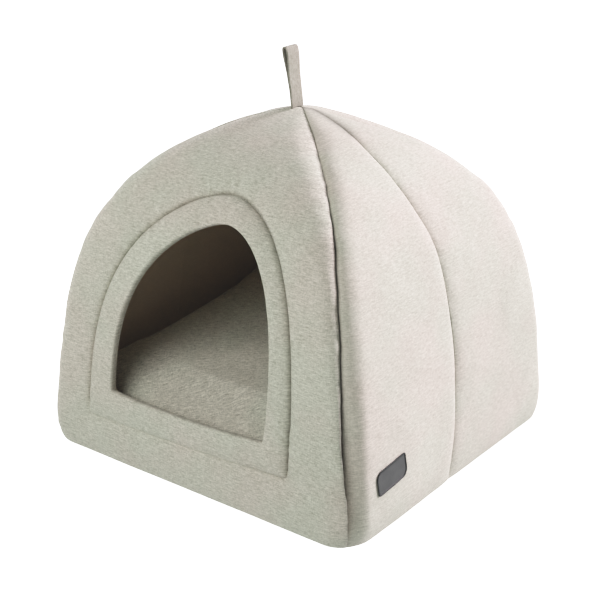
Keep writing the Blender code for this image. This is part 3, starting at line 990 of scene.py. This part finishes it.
basePad = {
    "thickness": 0.008,
    "corner": 0.012,
    "cornerSteps": 12,
    "edge": 0.0030,           # how far its edge swells out
    "edgeSteps": 13,
    "around": 160,
    # sizes of the rings of points on its two faces
    "under": (0.03, 0.5, 0.9),
    "over": (0.9, 0.7, 0.5, 0.3, 0.03),
}


def roundedSquare(halfX, halfY):
    # a square with round corners as points at even steps
    radius = basePad["corner"]
    turn = np.linspace(0.0, math.pi / 2, basePad["cornerSteps"])
    corner = np.column_stack([
        halfX - radius + radius * np.cos(turn), halfY - radius + radius * np.sin(turn)])
    loop = np.vstack([
        corner, corner[::-1] * (-1, 1), corner * (-1, -1), corner[::-1] * (1, -1), corner[:1]])
    return respaced(loop, basePad["around"], closed=True)


def buildBasePad():
    low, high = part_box("base_panel")
    size = Vector(high) - Vector(low)
    loop = roundedSquare(size.x / 2, size.y / 2)
    rows = [(loop * share, 0.0) for share in basePad["under"]]
    for turn in np.linspace(0.0, math.pi, basePad["edgeSteps"]):
        drawn = basePad["edge"] * (1 - math.sin(turn))
        up = basePad["thickness"] / 2 * (1 - math.cos(turn))
        rows.append((loop * (1 - drawn / size.x * 2), up))
    rows += [(loop * share, basePad["thickness"]) for share in basePad["over"]]
    points = np.array([np.column_stack([line, np.full(len(line), up)]) for line, up in rows])
    faces = tubeFaces(len(loop), len(rows))
    blank = np.zeros(points.shape[:2])
    marks = {"interiorShade": blank, "seam": blank}
    made = makeCloth(
        "base_panel_cloth", points, faces, points[..., :2], marks, finishes["base_fabric"], "base_panel")


buildBasePad()

cushion = {
    "half": 0.1785,
    "squareness": 9.0,
    "pull": 0.004,            # how much a side draws in between its corners
    "foot": 0.0083,
    # size and height of each ring from the underside up to the crown
    "rings": ((0.50, 0.000), (0.90, 0.000), (0.97, 0.008), (1.00, 0.036), (0.998, 0.060),
              (0.982, 0.0765), (0.94, 0.0845), (0.80, 0.0880), (0.55, 0.0903), (0.28, 0.0916)),
    "crown": 0.0930,
    # how much higher it lies at some places from front to back
    "lift": ((-0.18, -0.016), (-0.155, -0.007), (-0.125, -0.001), (-0.08, 0.0025), (-0.03, 0.005),
             (0.03, 0.011), (0.08, 0.018), (0.13, 0.027), (0.18, 0.033)),
    "around": 96,
    # the cloth simulation that fills it
    "voxel": 0.005,
    "pressure": 1.5,
    "frames": 20,
    "stiffness": 12,
    "bending": 0.4,
    "mass": 0.3,
    "quality": 6,
    "most": 0.006,            # the furthest that a point may move in it
    "liftFrom": 0.07,         # height over which the rings take on the lift
    "clothTurn": 34.0,        # degrees
    "clothEdge": 0.085,       # height below which the cloth goes on down the sides
    "seamHeight": 0.048,
    "seamDepth": 0.003,
    "seamReach": 0.004,
    "seamCrease": 0.001,
    "seamSteep": 1.2,         # how steep the side has to be for the seam to show
    "rumples": ((0.0016, 0.070), (0.0005, 0.028)),
    "rumpleSeed": 61,
    "clear": 0.0015,          # room to the walls
}


def cushionForm():
    turn = np.linspace(0.0, math.tau, cushion["around"], endpoint=False)
    power = 2 / cushion["squareness"]
    x = np.sign(np.cos(turn)) * np.abs(np.cos(turn)) ** power
    y = np.sign(np.sin(turn)) * np.abs(np.sin(turn)) ** power
    rows = []
    for size, up in cushion["rings"]:
        reach = cushion["half"] * size * (1 - cushion["pull"] * np.cos(2 * turn) ** 2)
        depth = y * reach * cave["depthShare"]
        lift = curveThrough(cushion["lift"], depth) * min(1.0, up / cushion["liftFrom"])
        rows.append(np.column_stack([x * reach, depth, cushion["foot"] + up + lift]))
    middles = [(0, 0, cushion["foot"]), (0, 0, cushion["foot"] + cushion["crown"])]
    points = np.vstack([*rows, middles])
    count, last = len(turn), len(turn) * (len(rows) - 1)
    faces = aroundFaces(count, len(rows), closed=False)
    for step in range(count):
        faces.append([step, (step + 1) % count, len(points) - 2])
        faces.append([last + step, last + (step + 1) % count, len(points) - 1])
    return putInScene("cushion_cloth", closedMesh("cushion_form", points, faces))


def meshPoints(mesh):
    points = np.zeros(len(mesh.vertices) * 3)
    mesh.vertices.foreach_get("co", points)
    return points.reshape(-1, 3)


def settled(made):
    # the object's mesh with its modifiers applied
    graph = bpy.context.evaluated_depsgraph_get()
    mesh = bpy.data.meshes.new_from_object(made.evaluated_get(graph))
    made.modifiers.clear()
    made.data = mesh


def fillCushion():
    made = cushionForm()
    soft = made.modifiers.new("soften", "SUBSURF")
    soft.levels = soft.render_levels = 2
    remesh = made.modifiers.new("remesh", "REMESH")
    remesh.mode = "VOXEL"
    remesh.voxel_size = cushion["voxel"]
    settled(made)
    before = meshPoints(made.data)
    if fine:
        scene = bpy.context.scene
        pad = made.modifiers.new("fill", "CLOTH")
        pad.settings.quality = cushion["quality"]
        pad.settings.mass = cushion["mass"]
        pad.settings.tension_stiffness = cushion["stiffness"]
        pad.settings.compression_stiffness = cushion["stiffness"]
        pad.settings.bending_stiffness = cushion["bending"]
        pad.settings.use_pressure = True
        pad.settings.uniform_pressure_force = cushion["pressure"]
        pad.settings.effector_weights.gravity = 0.0
        pad.point_cache.frame_start = 1
        pad.point_cache.frame_end = cushion["frames"]
        for number in range(1, cushion["frames"] + 1):
            scene.frame_set(number)
        graph = bpy.context.evaluated_depsgraph_get()
        swollen = bpy.data.meshes.new_from_object(made.evaluated_get(graph))
        after = meshPoints(swollen)
        made.modifiers.clear()
        scene.frame_set(1)
        moved = after - before
        far = np.linalg.norm(moved, axis=1, keepdims=True)
        moved *= np.minimum(1.0, cushion["most"] / np.maximum(far, 1e-9))
        print("cushion filled, moved up to", round(float(far.max()), 4))
        made.data.vertices.foreach_set("co", (before + moved).ravel())
        made.data.update()
    smooth = made.modifiers.new("smooth", "SUBSURF")
    smooth.levels = smooth.render_levels = 1
    settled(made)
    return made


def buildCushion():
    made = fillCushion()
    mesh = made.data
    points = meshPoints(mesh)
    normals = np.zeros(len(mesh.vertices) * 3)
    mesh.vertices.foreach_get("normal", normals)
    normals = normals.reshape(-1, 3)
    height = np.abs(points[:, 2] - cushion["foot"] - cushion["seamHeight"])
    upright = np.clip(1 - np.abs(normals[:, 2]) * cushion["seamSteep"], 0.0, 1.0)
    dip = valley(height, cushion["seamDepth"], cushion["seamReach"], cushion["seamCrease"])
    points -= normals * (dip * upright)[:, None]
    ripple = rumples(points[:, 0], points[:, 1], cushion["rumples"], cushion["rumpleSeed"])
    points += normals * ripple[:, None]
    points[:, 2] = np.maximum(points[:, 2], cushion["foot"])
    wallHalf = np.interp(points[:, 2], outline["up"], outline["out"])
    for axis, share in ((0, 1.0), (1, cave["depthShare"])):
        room = wallHalf * share - cave["thickness"] - cushion["clear"]
        points[:, axis] = np.clip(points[:, axis], -room, room)
    mesh.vertices.foreach_set("co", points.ravel())
    mesh.update()
    # the cloth lies turned on the cushion, and goes on down its sides
    lengthways = np.abs(points[:, 0]) > np.abs(points[:, 1])
    fall = np.maximum(cushion["clothEdge"] - points[:, 2], 0.0)
    flatX = points[:, 0] + np.sign(points[:, 0]) * fall * lengthways
    flatY = points[:, 1] + np.sign(points[:, 1]) * fall * ~lengthways
    turn = math.radians(cushion["clothTurn"])
    cloth = np.column_stack([
        math.cos(turn) * flatX + math.sin(turn) * flatY,
        math.cos(turn) * flatY - math.sin(turn) * flatX,
    ])
    mesh.materials.clear()
    # painted shade in the groove of the cushion's side seam
    marks = {"seam": np.exp(-height / cushion["seamReach"]) * upright}
    dress(mesh, cloth, marks, finishes["cushion_fabric"])
    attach(made, "root")
    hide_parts("cushion")


buildCushion()
print("base pad and cushion made")


# The strap loop on the peak

strap = {
    "width": 0.0195,
    "thickness": 0.0011,
    "foot": (-0.007, 0.0, 0.3656),
    "height": 0.0619,
    "gap": 0.0040,
    "lean": 0.0098,
    "leanCurve": 1.2,
    "steps": 60,
    "stepCurve": 0.9,
    "columns": 14,
    "sunk": 0.004,            # how far its ends go down between the panels
    "apart": 0.0002,          # and how far apart they are there
    # shares of the height: where the fold at the top starts and how high it is, where the two
    # strands start to part and over how much
    "fold": (0.90, 0.0852),
    "foldSteps": 14,
    "parting": (0.50, 0.38),
    # half the distance of the strands at the foot, in thicknesses, and how it grows up to a height
    "strands": (0.32, 0.36, 0.5),
    # the cut across the strap: how much thinner its edges are, and the ridges along them
    "edge": (0.25, 6),
    "ridge": (0.12, 0.82, 0.1),
    "sway": (0.0004, 0.02, 71),         # size, pitch and seed of its unevenness, and of its width's
    "widthSway": (0.03, 0.015, 72),
    # how dark the painted shadow at the strap's ends is, where they go down between the panels, and its
    # reach
    "footShade": (0.5, 0.006),
}


def strapRoute():
    # the middle of the cloth, up one strand, over the fold and down the other
    foot = np.array(strap["foot"])
    foldStart, foldHeight = strap["fold"]
    straight = np.linspace(0.0, 1.0, strap["steps"]) ** strap["stepCurve"] * foldStart
    turns = np.linspace(0.0, math.pi / 2, strap["foldSteps"])[1:]
    shares = np.concatenate([straight, foldStart + foldHeight * np.sin(turns)])
    fold = np.sqrt(np.maximum(0.0, 1 - np.maximum(0.0, (shares - foldStart) / foldHeight) ** 2))
    close, growth, upTo = strap["strands"]
    half = strap["thickness"] * (close + growth * eased(shares / upTo))
    half = half + strap["gap"] / 2 * rising(shares, strap["parting"]) * fold
    half[-1] = 0.0
    middle = foot + np.column_stack([
        -strap["lean"] * shares ** strap["leanCurve"], 0 * shares, strap["height"] * shares])
    aside = np.column_stack([half, 0 * half, 0 * half])
    right, left = middle + aside, middle - aside
    sunk = foot - (0, 0, strap["sunk"])
    sunkAside = (strap["thickness"] / 2 + strap["apart"], 0, 0)
    return np.vstack([sunk + sunkAside, right, left[-2::-1], sunk - sunkAside])


def buildStrap():
    route = strapRoute()
    tangent = np.gradient(route, axis=0)
    tangent /= np.linalg.norm(tangent, axis=1, keepdims=True)
    outward = np.stack([tangent[:, 2], 0 * tangent[:, 0], -tangent[:, 0]], axis=1)
    run = np.concatenate([[0.0], np.cumsum(np.linalg.norm(np.diff(route, axis=0), axis=1))])
    side = np.linspace(-1.0, 1.0, strap["columns"])
    thinner, power = strap["edge"]
    ridge, place, reach = strap["ridge"]
    thick = 1 - thinner * np.abs(side) ** power + ridge * (np.abs(np.abs(side) - place) < reach)
    halves = np.column_stack([side * strap["width"] / 2, thick * strap["thickness"] / 2])
    ring = np.vstack([halves, halves[::-1] * (1, -1)])
    size, pitch, seed = strap["sway"]
    sway = size * waver(run, pitch, seed)
    size, pitch, seed = strap["widthSway"]
    wider = 1 + size * waver(run, pitch, seed)
    sideways = ring[:, 0] * wider[:, None] + sway[:, None]
    points = route[:, None] + outward[:, None] * ring[:, 1, None]
    points = points + np.array((0.0, 1.0, 0.0)) * sideways[..., None]
    cloth = np.stack(np.broadcast_arrays(run[:, None], ring[None, :, 0]), axis=-1)
    blank = np.zeros(points.shape[:2])
    # painted shadow at both ends, where the strap goes down into the peak
    dark, reach = strap["footShade"]
    ends = dark * np.exp(-run / reach) + dark * np.exp(-(run[-1] - run) / reach)
    marks = {"interiorShade": blank, "seam": blank + ends[:, None]}
    faces = tubeFaces(len(ring), len(route))
    made = makeCloth(
        "hanging_loop_strap", points, faces, cloth, marks, finishes["strap_fabric"], "hanging_loop")


buildStrap()
print("strap loop made")


# The bare patch near the front of the right wall's foot

patch = {
    "across": -0.1312,
    "climb": 0.0637,
    "length": 0.0490,
    "height": 0.0246,
    "tilt": 5.5,              # degrees
    "thickness": 0.0013,
    "clear": 0.0002,
    # corner radii: foot rear, top rear, top front, foot front
    "corners": (0.0085, 0.0030, 0.0085, 0.0030),
    "leastCorner": 0.0004,
    "cornerSteps": 9,
    "around": 120,
    "border": 0.0014,
    "raised": 0.0006,
    "under": 0.5,             # sizes of the rings of points under it and on its face
    "face": (0.8, 0.6, 0.4, 0.2, 0.05),
}
# The patch's rubber: scale, detail and roughness of its grain and its clouds, how much of each is
# in its tone and over what span, its colours and its border's, and how matt the grain makes it
rubber = {
    "roughness": 0.5,
    "grain": (2600.0, 3.0, 0.6),
    "cloud": (90.0, 2.0, 0.5),
    "tone": {"grain": 0.7, "cloud": 0.5},
    "toneSpan": (0.3, 0.9),
    "colors": ((0.054, 0.056, 0.055), (0.096, 0.099, 0.096)),
    "border": (0.020, 0.021, 0.021),
    "matt": (0.3, 0.7, 0.42, 0.62),
    "bump": (0.35, 0.0002),
}


def rubberFinish():
    finish = Finish("patch_rubber", rubber["roughness"])
    place = finish.wire(finish.node("ShaderNodeTexCoord"), "Object")
    parts = {kind: finish.noise(place, *rubber[kind]) for kind in ("grain", "cloud")}
    tone = finish.ramp(finish.mixed(parts, rubber["tone"]), *rubber["toneSpan"])
    color = finish.blend(tone, *rubber["colors"])
    finish.feed("Base Color", finish.blend(finish.mark("border"), color, rubber["border"]))
    finish.feed("Roughness", finish.ramp(parts["grain"], *rubber["matt"]))
    finish.bump(parts["grain"], *rubber["bump"])
    return finish.material


def patchLoop(drawn):
    # the patch's outline, drawn in by some distance
    halfLength, halfHeight = patch["length"] / 2 - drawn, patch["height"] / 2 - drawn
    loop = []
    for radius, (signX, signY) in zip(patch["corners"], ((1, -1), (1, 1), (-1, 1), (-1, -1))):
        radius = max(radius - drawn, patch["leastCorner"])
        start = math.atan2(signY, signX) - math.pi / 4
        for turn in np.linspace(start, start + math.pi / 2, patch["cornerSteps"]):
            loop.append((
                signX * (halfLength - radius) + radius * math.cos(turn),
                signY * (halfHeight - radius) + radius * math.sin(turn),
            ))
    return respaced(np.array(loop + loop[:1]), patch["around"], closed=True)


def patchRows():
    # rings of points with their heights, from the underside over the border to the face
    top, border = patch["thickness"], patch["border"]
    low = top - patch["raised"]
    profile = (
        (0.0006, 0.0), (0.0, 0.0005), (0.0, top - 0.0003), (0.0001, top - 0.0001), (0.0004, top),
        (border - 0.0003, top), (border, top - 0.0001), (border + 0.0003, low), (border + 0.0010, low),
    )
    rows = [(patchLoop(drawn), up) for drawn, up in profile]
    under = [(rows[0][0] * patch["under"], 0.0)]
    return under + rows + [(rows[-1][0] * share, low) for share in patch["face"]]


def buildPatch():
    rows = patchRows()
    loops = np.array([line for line, _ in rows])
    raised = np.array([up for _, up in rows])[:, None] + np.zeros(loops.shape[:2])
    tilt = math.radians(patch["tilt"])
    across = patch["across"] + math.cos(tilt) * loops[..., 0] - math.sin(tilt) * loops[..., 1]
    climb = patch["climb"] + math.sin(tilt) * loops[..., 0] + math.cos(tilt) * loops[..., 1]
    onCloth = clothInsets["right_wall_front"](across, climb)
    points = wallPoint("right", across, climb, onCloth - patch["clear"] - raised)
    faces = tubeFaces(loops.shape[1], len(rows))
    border = np.zeros(loops.shape[:2])
    # the rings from the outer edge to the inner foot of the border
    border[2:9] = 1.0
    made = makeCloth(
        "label_patch_plate", points, faces, loops, {"border": border}, rubberFinish(), "label_patch")


buildPatch()
print("patch made")


# Thread: one short stitch after another along the bottom of the groove round the doorway

thread = {
    "length": 0.0034,
    "pitch": 0.0047,
    "thickness": 0.00042,
    "lift": 0.0003,
    "uneven": (0.9, 1.1),     # smallest and largest stitch
    "seed": 5,
    "segments": 8,
    "rings": 6,
    "roughness": 0.6,
    "sheen": 0.1,
    "ply": (900.0, 2.0, 0.5),
    "plySpan": (0.3, 0.7),
    "colors": ((0.46, 0.44, 0.375), (0.58, 0.55, 0.475)),
    "bump": (0.3, 0.0001),
}


def threadFinish():
    finish = Finish("stitch_thread", thread["roughness"], thread["sheen"])
    place = finish.wire(finish.node("ShaderNodeTexCoord"), "Object")
    ply = finish.noise(place, *thread["ply"])
    finish.feed("Base Color", finish.blend(finish.ramp(ply, *thread["plySpan"]), *thread["colors"]))
    finish.bump(ply, *thread["bump"])
    return finish.material


def stitchTree(finish):
    # one bead at each step along a curve, turned to it and stretched into a stitch
    tree = bpy.data.node_groups.new("stitches_on_a_line", "GeometryNodeTree")
    face = tree.interface
    face.new_socket("Geometry", in_out="INPUT", socket_type="NodeSocketGeometry")
    for name in ("Pitch", "Length", "Thickness"):
        face.new_socket(name, in_out="INPUT", socket_type="NodeSocketFloat")
    face.new_socket("Geometry", in_out="OUTPUT", socket_type="NodeSocketGeometry")
    start = addNode(tree, "NodeGroupInput").outputs
    inputs = {"Curve": start["Geometry"], "Length": start["Pitch"]}
    even = addNode(tree, "GeometryNodeResampleCurve", {"mode": "LENGTH"}, inputs)
    tangent = addNode(tree, "GeometryNodeInputTangent").outputs["Tangent"]
    turn = addNode(tree, "FunctionNodeAlignRotationToVector", {"axis": "X"}, {"Vector": tangent})
    inputs = {"Segments": thread["segments"], "Rings": thread["rings"], "Radius": 1.0}
    bead = addNode(tree, "GeometryNodeMeshUVSphere", inputs=inputs)
    halved = addNode(tree, "ShaderNodeMath", {"operation": "MULTIPLY"}, {0: start["Length"], 1: 0.5})
    inputs = {0: halved.outputs[0], 1: start["Thickness"], 2: start["Thickness"]}
    size = addNode(tree, "ShaderNodeCombineXYZ", inputs=inputs)
    smallest, largest = thread["uneven"]
    inputs = {2: smallest, 3: largest, "Seed": thread["seed"]}
    uneven = addNode(tree, "FunctionNodeRandomValue", {"data_type": "FLOAT"}, inputs)
    inputs = {0: size.outputs[0], "Scale": uneven.outputs[1]}
    grow = addNode(tree, "ShaderNodeVectorMath", {"operation": "SCALE"}, inputs)
    stitches = addNode(tree, "GeometryNodeInstanceOnPoints", inputs={
        "Points": even.outputs["Curve"], "Instance": bead.outputs["Mesh"],
        "Rotation": turn.outputs["Rotation"], "Scale": grow.outputs[0],
    }).outputs["Instances"]
    for kind in ("GeometryNodeRealizeInstances", "GeometryNodeSetShadeSmooth"):
        stitches = addNode(tree, kind, inputs={"Geometry": stitches}).outputs["Geometry"]
    coat = addNode(tree, "GeometryNodeSetMaterial", inputs={"Geometry": stitches, "Material": finish})
    addNode(tree, "NodeGroupOutput", inputs={"Geometry": coat.outputs["Geometry"]})
    return tree


def buildStitches():
    points = wallPoint("front", stitchLine[:, 0], stitchLine[:, 1], stitchInset - thread["lift"])
    line = bpy.data.curves.new("doorway_stitches", "CURVE")
    line.dimensions = "3D"
    spline = line.splines.new("POLY")
    spline.points.add(len(points) - 1)
    spline.points.foreach_set("co", np.column_stack([points, np.ones(len(points))]).ravel())
    spline.use_cyclic_u = True
    drawn = putInScene("doorway_stitches_line", line)
    tree = stitchTree(threadFinish())
    sewn = drawn.modifiers.new("stitches", "NODES")
    sewn.node_group = tree
    inputs = {item.name: item.identifier for item in tree.interface.items_tree if item.in_out == "INPUT"}
    for name in ("Pitch", "Length", "Thickness"):
        sewn[inputs[name]] = thread[name.lower()]
    graph = bpy.context.evaluated_depsgraph_get()
    mesh = bpy.data.meshes.new_from_object(drawn.evaluated_get(graph))
    bpy.data.objects.remove(drawn)
    made = putInScene("doorway_stitches", mesh)
    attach(made, "root")
    print("stitches sewn:", len(mesh.polygons), "faces")


buildStitches()


# The room: a pale floor, soft studio light, and the camera

camera = {"azimuth": 37.569, "elevation": 22.031, "distance": 1.4966, "aimUp": 0.1502,
          "aimRight": -0.0027, "lens": 82.27, "sensor": 36.0}
studio = {
    "floor": (0.92, 0.92, 0.92),
    "floorRoughness": 0.9,
    "floorGlow": 2.2,         # keeps the paper white round the piece
    "floorReach": 9.0,
    "floorDown": 0.0002,
    "above": 0.02,            # light from the room above and from the paper below
    "below": 0.83,
    "horizon": 0.02,          # half the band in which one turns into the other
    "paper": 3.0,             # the white that the camera sees all round
    "belowColor": (0.92, 0.99, 0.96),
    "focus": (0.0, 0.0, 0.15),
}
# kind, azimuth from +X towards +Y, elevation, strength, distance, size or spread, colour
lamps = {
    "key": ("SUN", 50, 15, 4.0, 3.0, 14.0, (1.04, 0.96, 1.03)),
    "keySide": ("SUN", 72, 20, 0.90, 3.0, 14.0, (1.04, 0.96, 1.03)),
    "keyTop": ("AREA", 60, 45, 18.5, 1.6, 0.6, (1.04, 0.95, 1.05)),
    "frontSoft": ("AREA", -95, 38, 15.8, 1.6, 1.3, (0.98, 1.01, 0.98)),
    "fill": ("AREA", -52, 22, 1.0, 1.6, 1.5, (1.0, 1.0, 0.98)),
    "leftNear": ("AREA", -165, 25, 1.3, 0.75, 1.1, (1.01, 0.99, 0.99)),
    "leftRim": ("AREA", 175, 10, 12.0, 1.6, 0.9, (1.01, 0.99, 0.99)),
}
# the camera's own tone: scene brightness and the brightness it is shown with
tone = ((0.0, 0.010), (0.02, 0.0265), (0.06, 0.063), (0.15, 0.15), (0.30, 0.30), (0.45, 0.440),
        (0.60, 0.559), (0.80, 0.692), (1.0, 0.797), (1.25, 0.891), (1.50, 0.952), (1.75, 0.987),
        (2.0, 1.0))


def direction(azimuth, elevation):
    a, e = math.radians(azimuth), math.radians(elevation)
    return Vector((math.cos(a) * math.cos(e), math.sin(a) * math.cos(e), math.sin(e)))


def buildFloor():
    mesh = bpy.data.meshes.new("floor")
    reach, down = studio["floorReach"], -studio["floorDown"]
    corners = [(-reach, -reach, down), (reach, -reach, down), (reach, reach, down), (-reach, reach, down)]
    mesh.from_pydata(corners, [], [(0, 1, 2, 3)])
    finish = Finish("floor_paint", studio["floorRoughness"])
    finish.shader.inputs["Base Color"].default_value = (*studio["floor"], 1.0)
    finish.shader.inputs["Emission Color"].default_value = (1.0, 1.0, 1.0, 1.0)
    finish.shader.inputs["Emission Strength"].default_value = studio["floorGlow"]
    mesh.materials.append(finish.material)
    floor = putInScene("floor", mesh)
    floor.visible_diffuse = False
    floor.visible_glossy = False
    floor.visible_shadow = False


def makeWorld():
    # light from above and below, and the white paper that the camera sees all round
    world = bpy.data.worlds.new("studio")
    world.use_nodes = True
    tree = world.node_tree
    aim = addNode(tree, "ShaderNodeTexCoord").outputs["Generated"]
    up = addNode(tree, "ShaderNodeSeparateXYZ", inputs={0: aim}).outputs[2]
    light = addNode(tree, "ShaderNodeMapRange", inputs={
        "Value": up, "From Min": -studio["horizon"], "From Max": studio["horizon"],
        "To Min": studio["below"], "To Max": studio["above"],
    }).outputs[0]
    seen = addNode(tree, "ShaderNodeLightPath").outputs["Is Camera Ray"]
    inputs = {0: seen, 1: studio["paper"], 2: light}
    paper = addNode(tree, "ShaderNodeMath", {"operation": "MULTIPLY_ADD"}, inputs)
    backdrop = tree.nodes["Background"]
    backdrop.inputs["Color"].default_value = (*studio["belowColor"], 1.0)
    tree.links.new(paper.outputs[0], backdrop.inputs["Strength"])
    bpy.context.scene.world = world


def placeLamps():
    for name, (kind, azimuth, elevation, strength, distance, size, color) in lamps.items():
        lamp = bpy.data.lights.new(name, kind)
        lamp.energy = strength
        lamp.color = color
        if kind == "SUN":
            lamp.angle = math.radians(size)
        else:
            lamp.shape = "DISK"
            lamp.size = size
        placed = putInScene(name, lamp)
        toLamp = direction(azimuth, elevation)
        placed.location = Vector(studio["focus"]) + toLamp * distance
        placed.rotation_mode = "QUATERNION"
        placed.rotation_quaternion = toLamp.to_track_quat("Z", "Y")
        placed.visible_camera = False


def setTone():
    shown = bpy.context.scene.view_settings
    shown.view_transform = "Standard"
    shown.use_curve_mapping = True
    brightest = tone[-1][0]
    shown.curve_mapping.white_level = (brightest, brightest, brightest)
    curve = shown.curve_mapping.curves[3]
    curve.points[0].location = tone[0]
    for place, value in tone[1:-1]:
        curve.points.new(place / brightest, value)
    shown.curve_mapping.update()


def placeCamera():
    a, e = math.radians(camera["azimuth"]), math.radians(camera["elevation"])
    back = Vector((math.sin(a) * math.cos(e), -math.cos(a) * math.cos(e), math.sin(e)))
    right = Vector((math.cos(a), math.sin(a), 0.0))
    aim = Vector((0.0, 0.0, camera["aimUp"])) + right * camera["aimRight"]
    lens = bpy.data.cameras.new("camera")
    lens.lens = camera["lens"]
    lens.sensor_width = camera["sensor"]
    placed = putInScene("camera", lens)
    placed.location = aim + back * camera["distance"]
    placed.rotation_mode = "QUATERNION"
    placed.rotation_quaternion = back.to_track_quat("Z", "Y")
    bpy.context.scene.camera = placed


buildFloor()
makeWorld()
placeLamps()
setTone()
placeCamera()
bpy.context.view_layer.update()
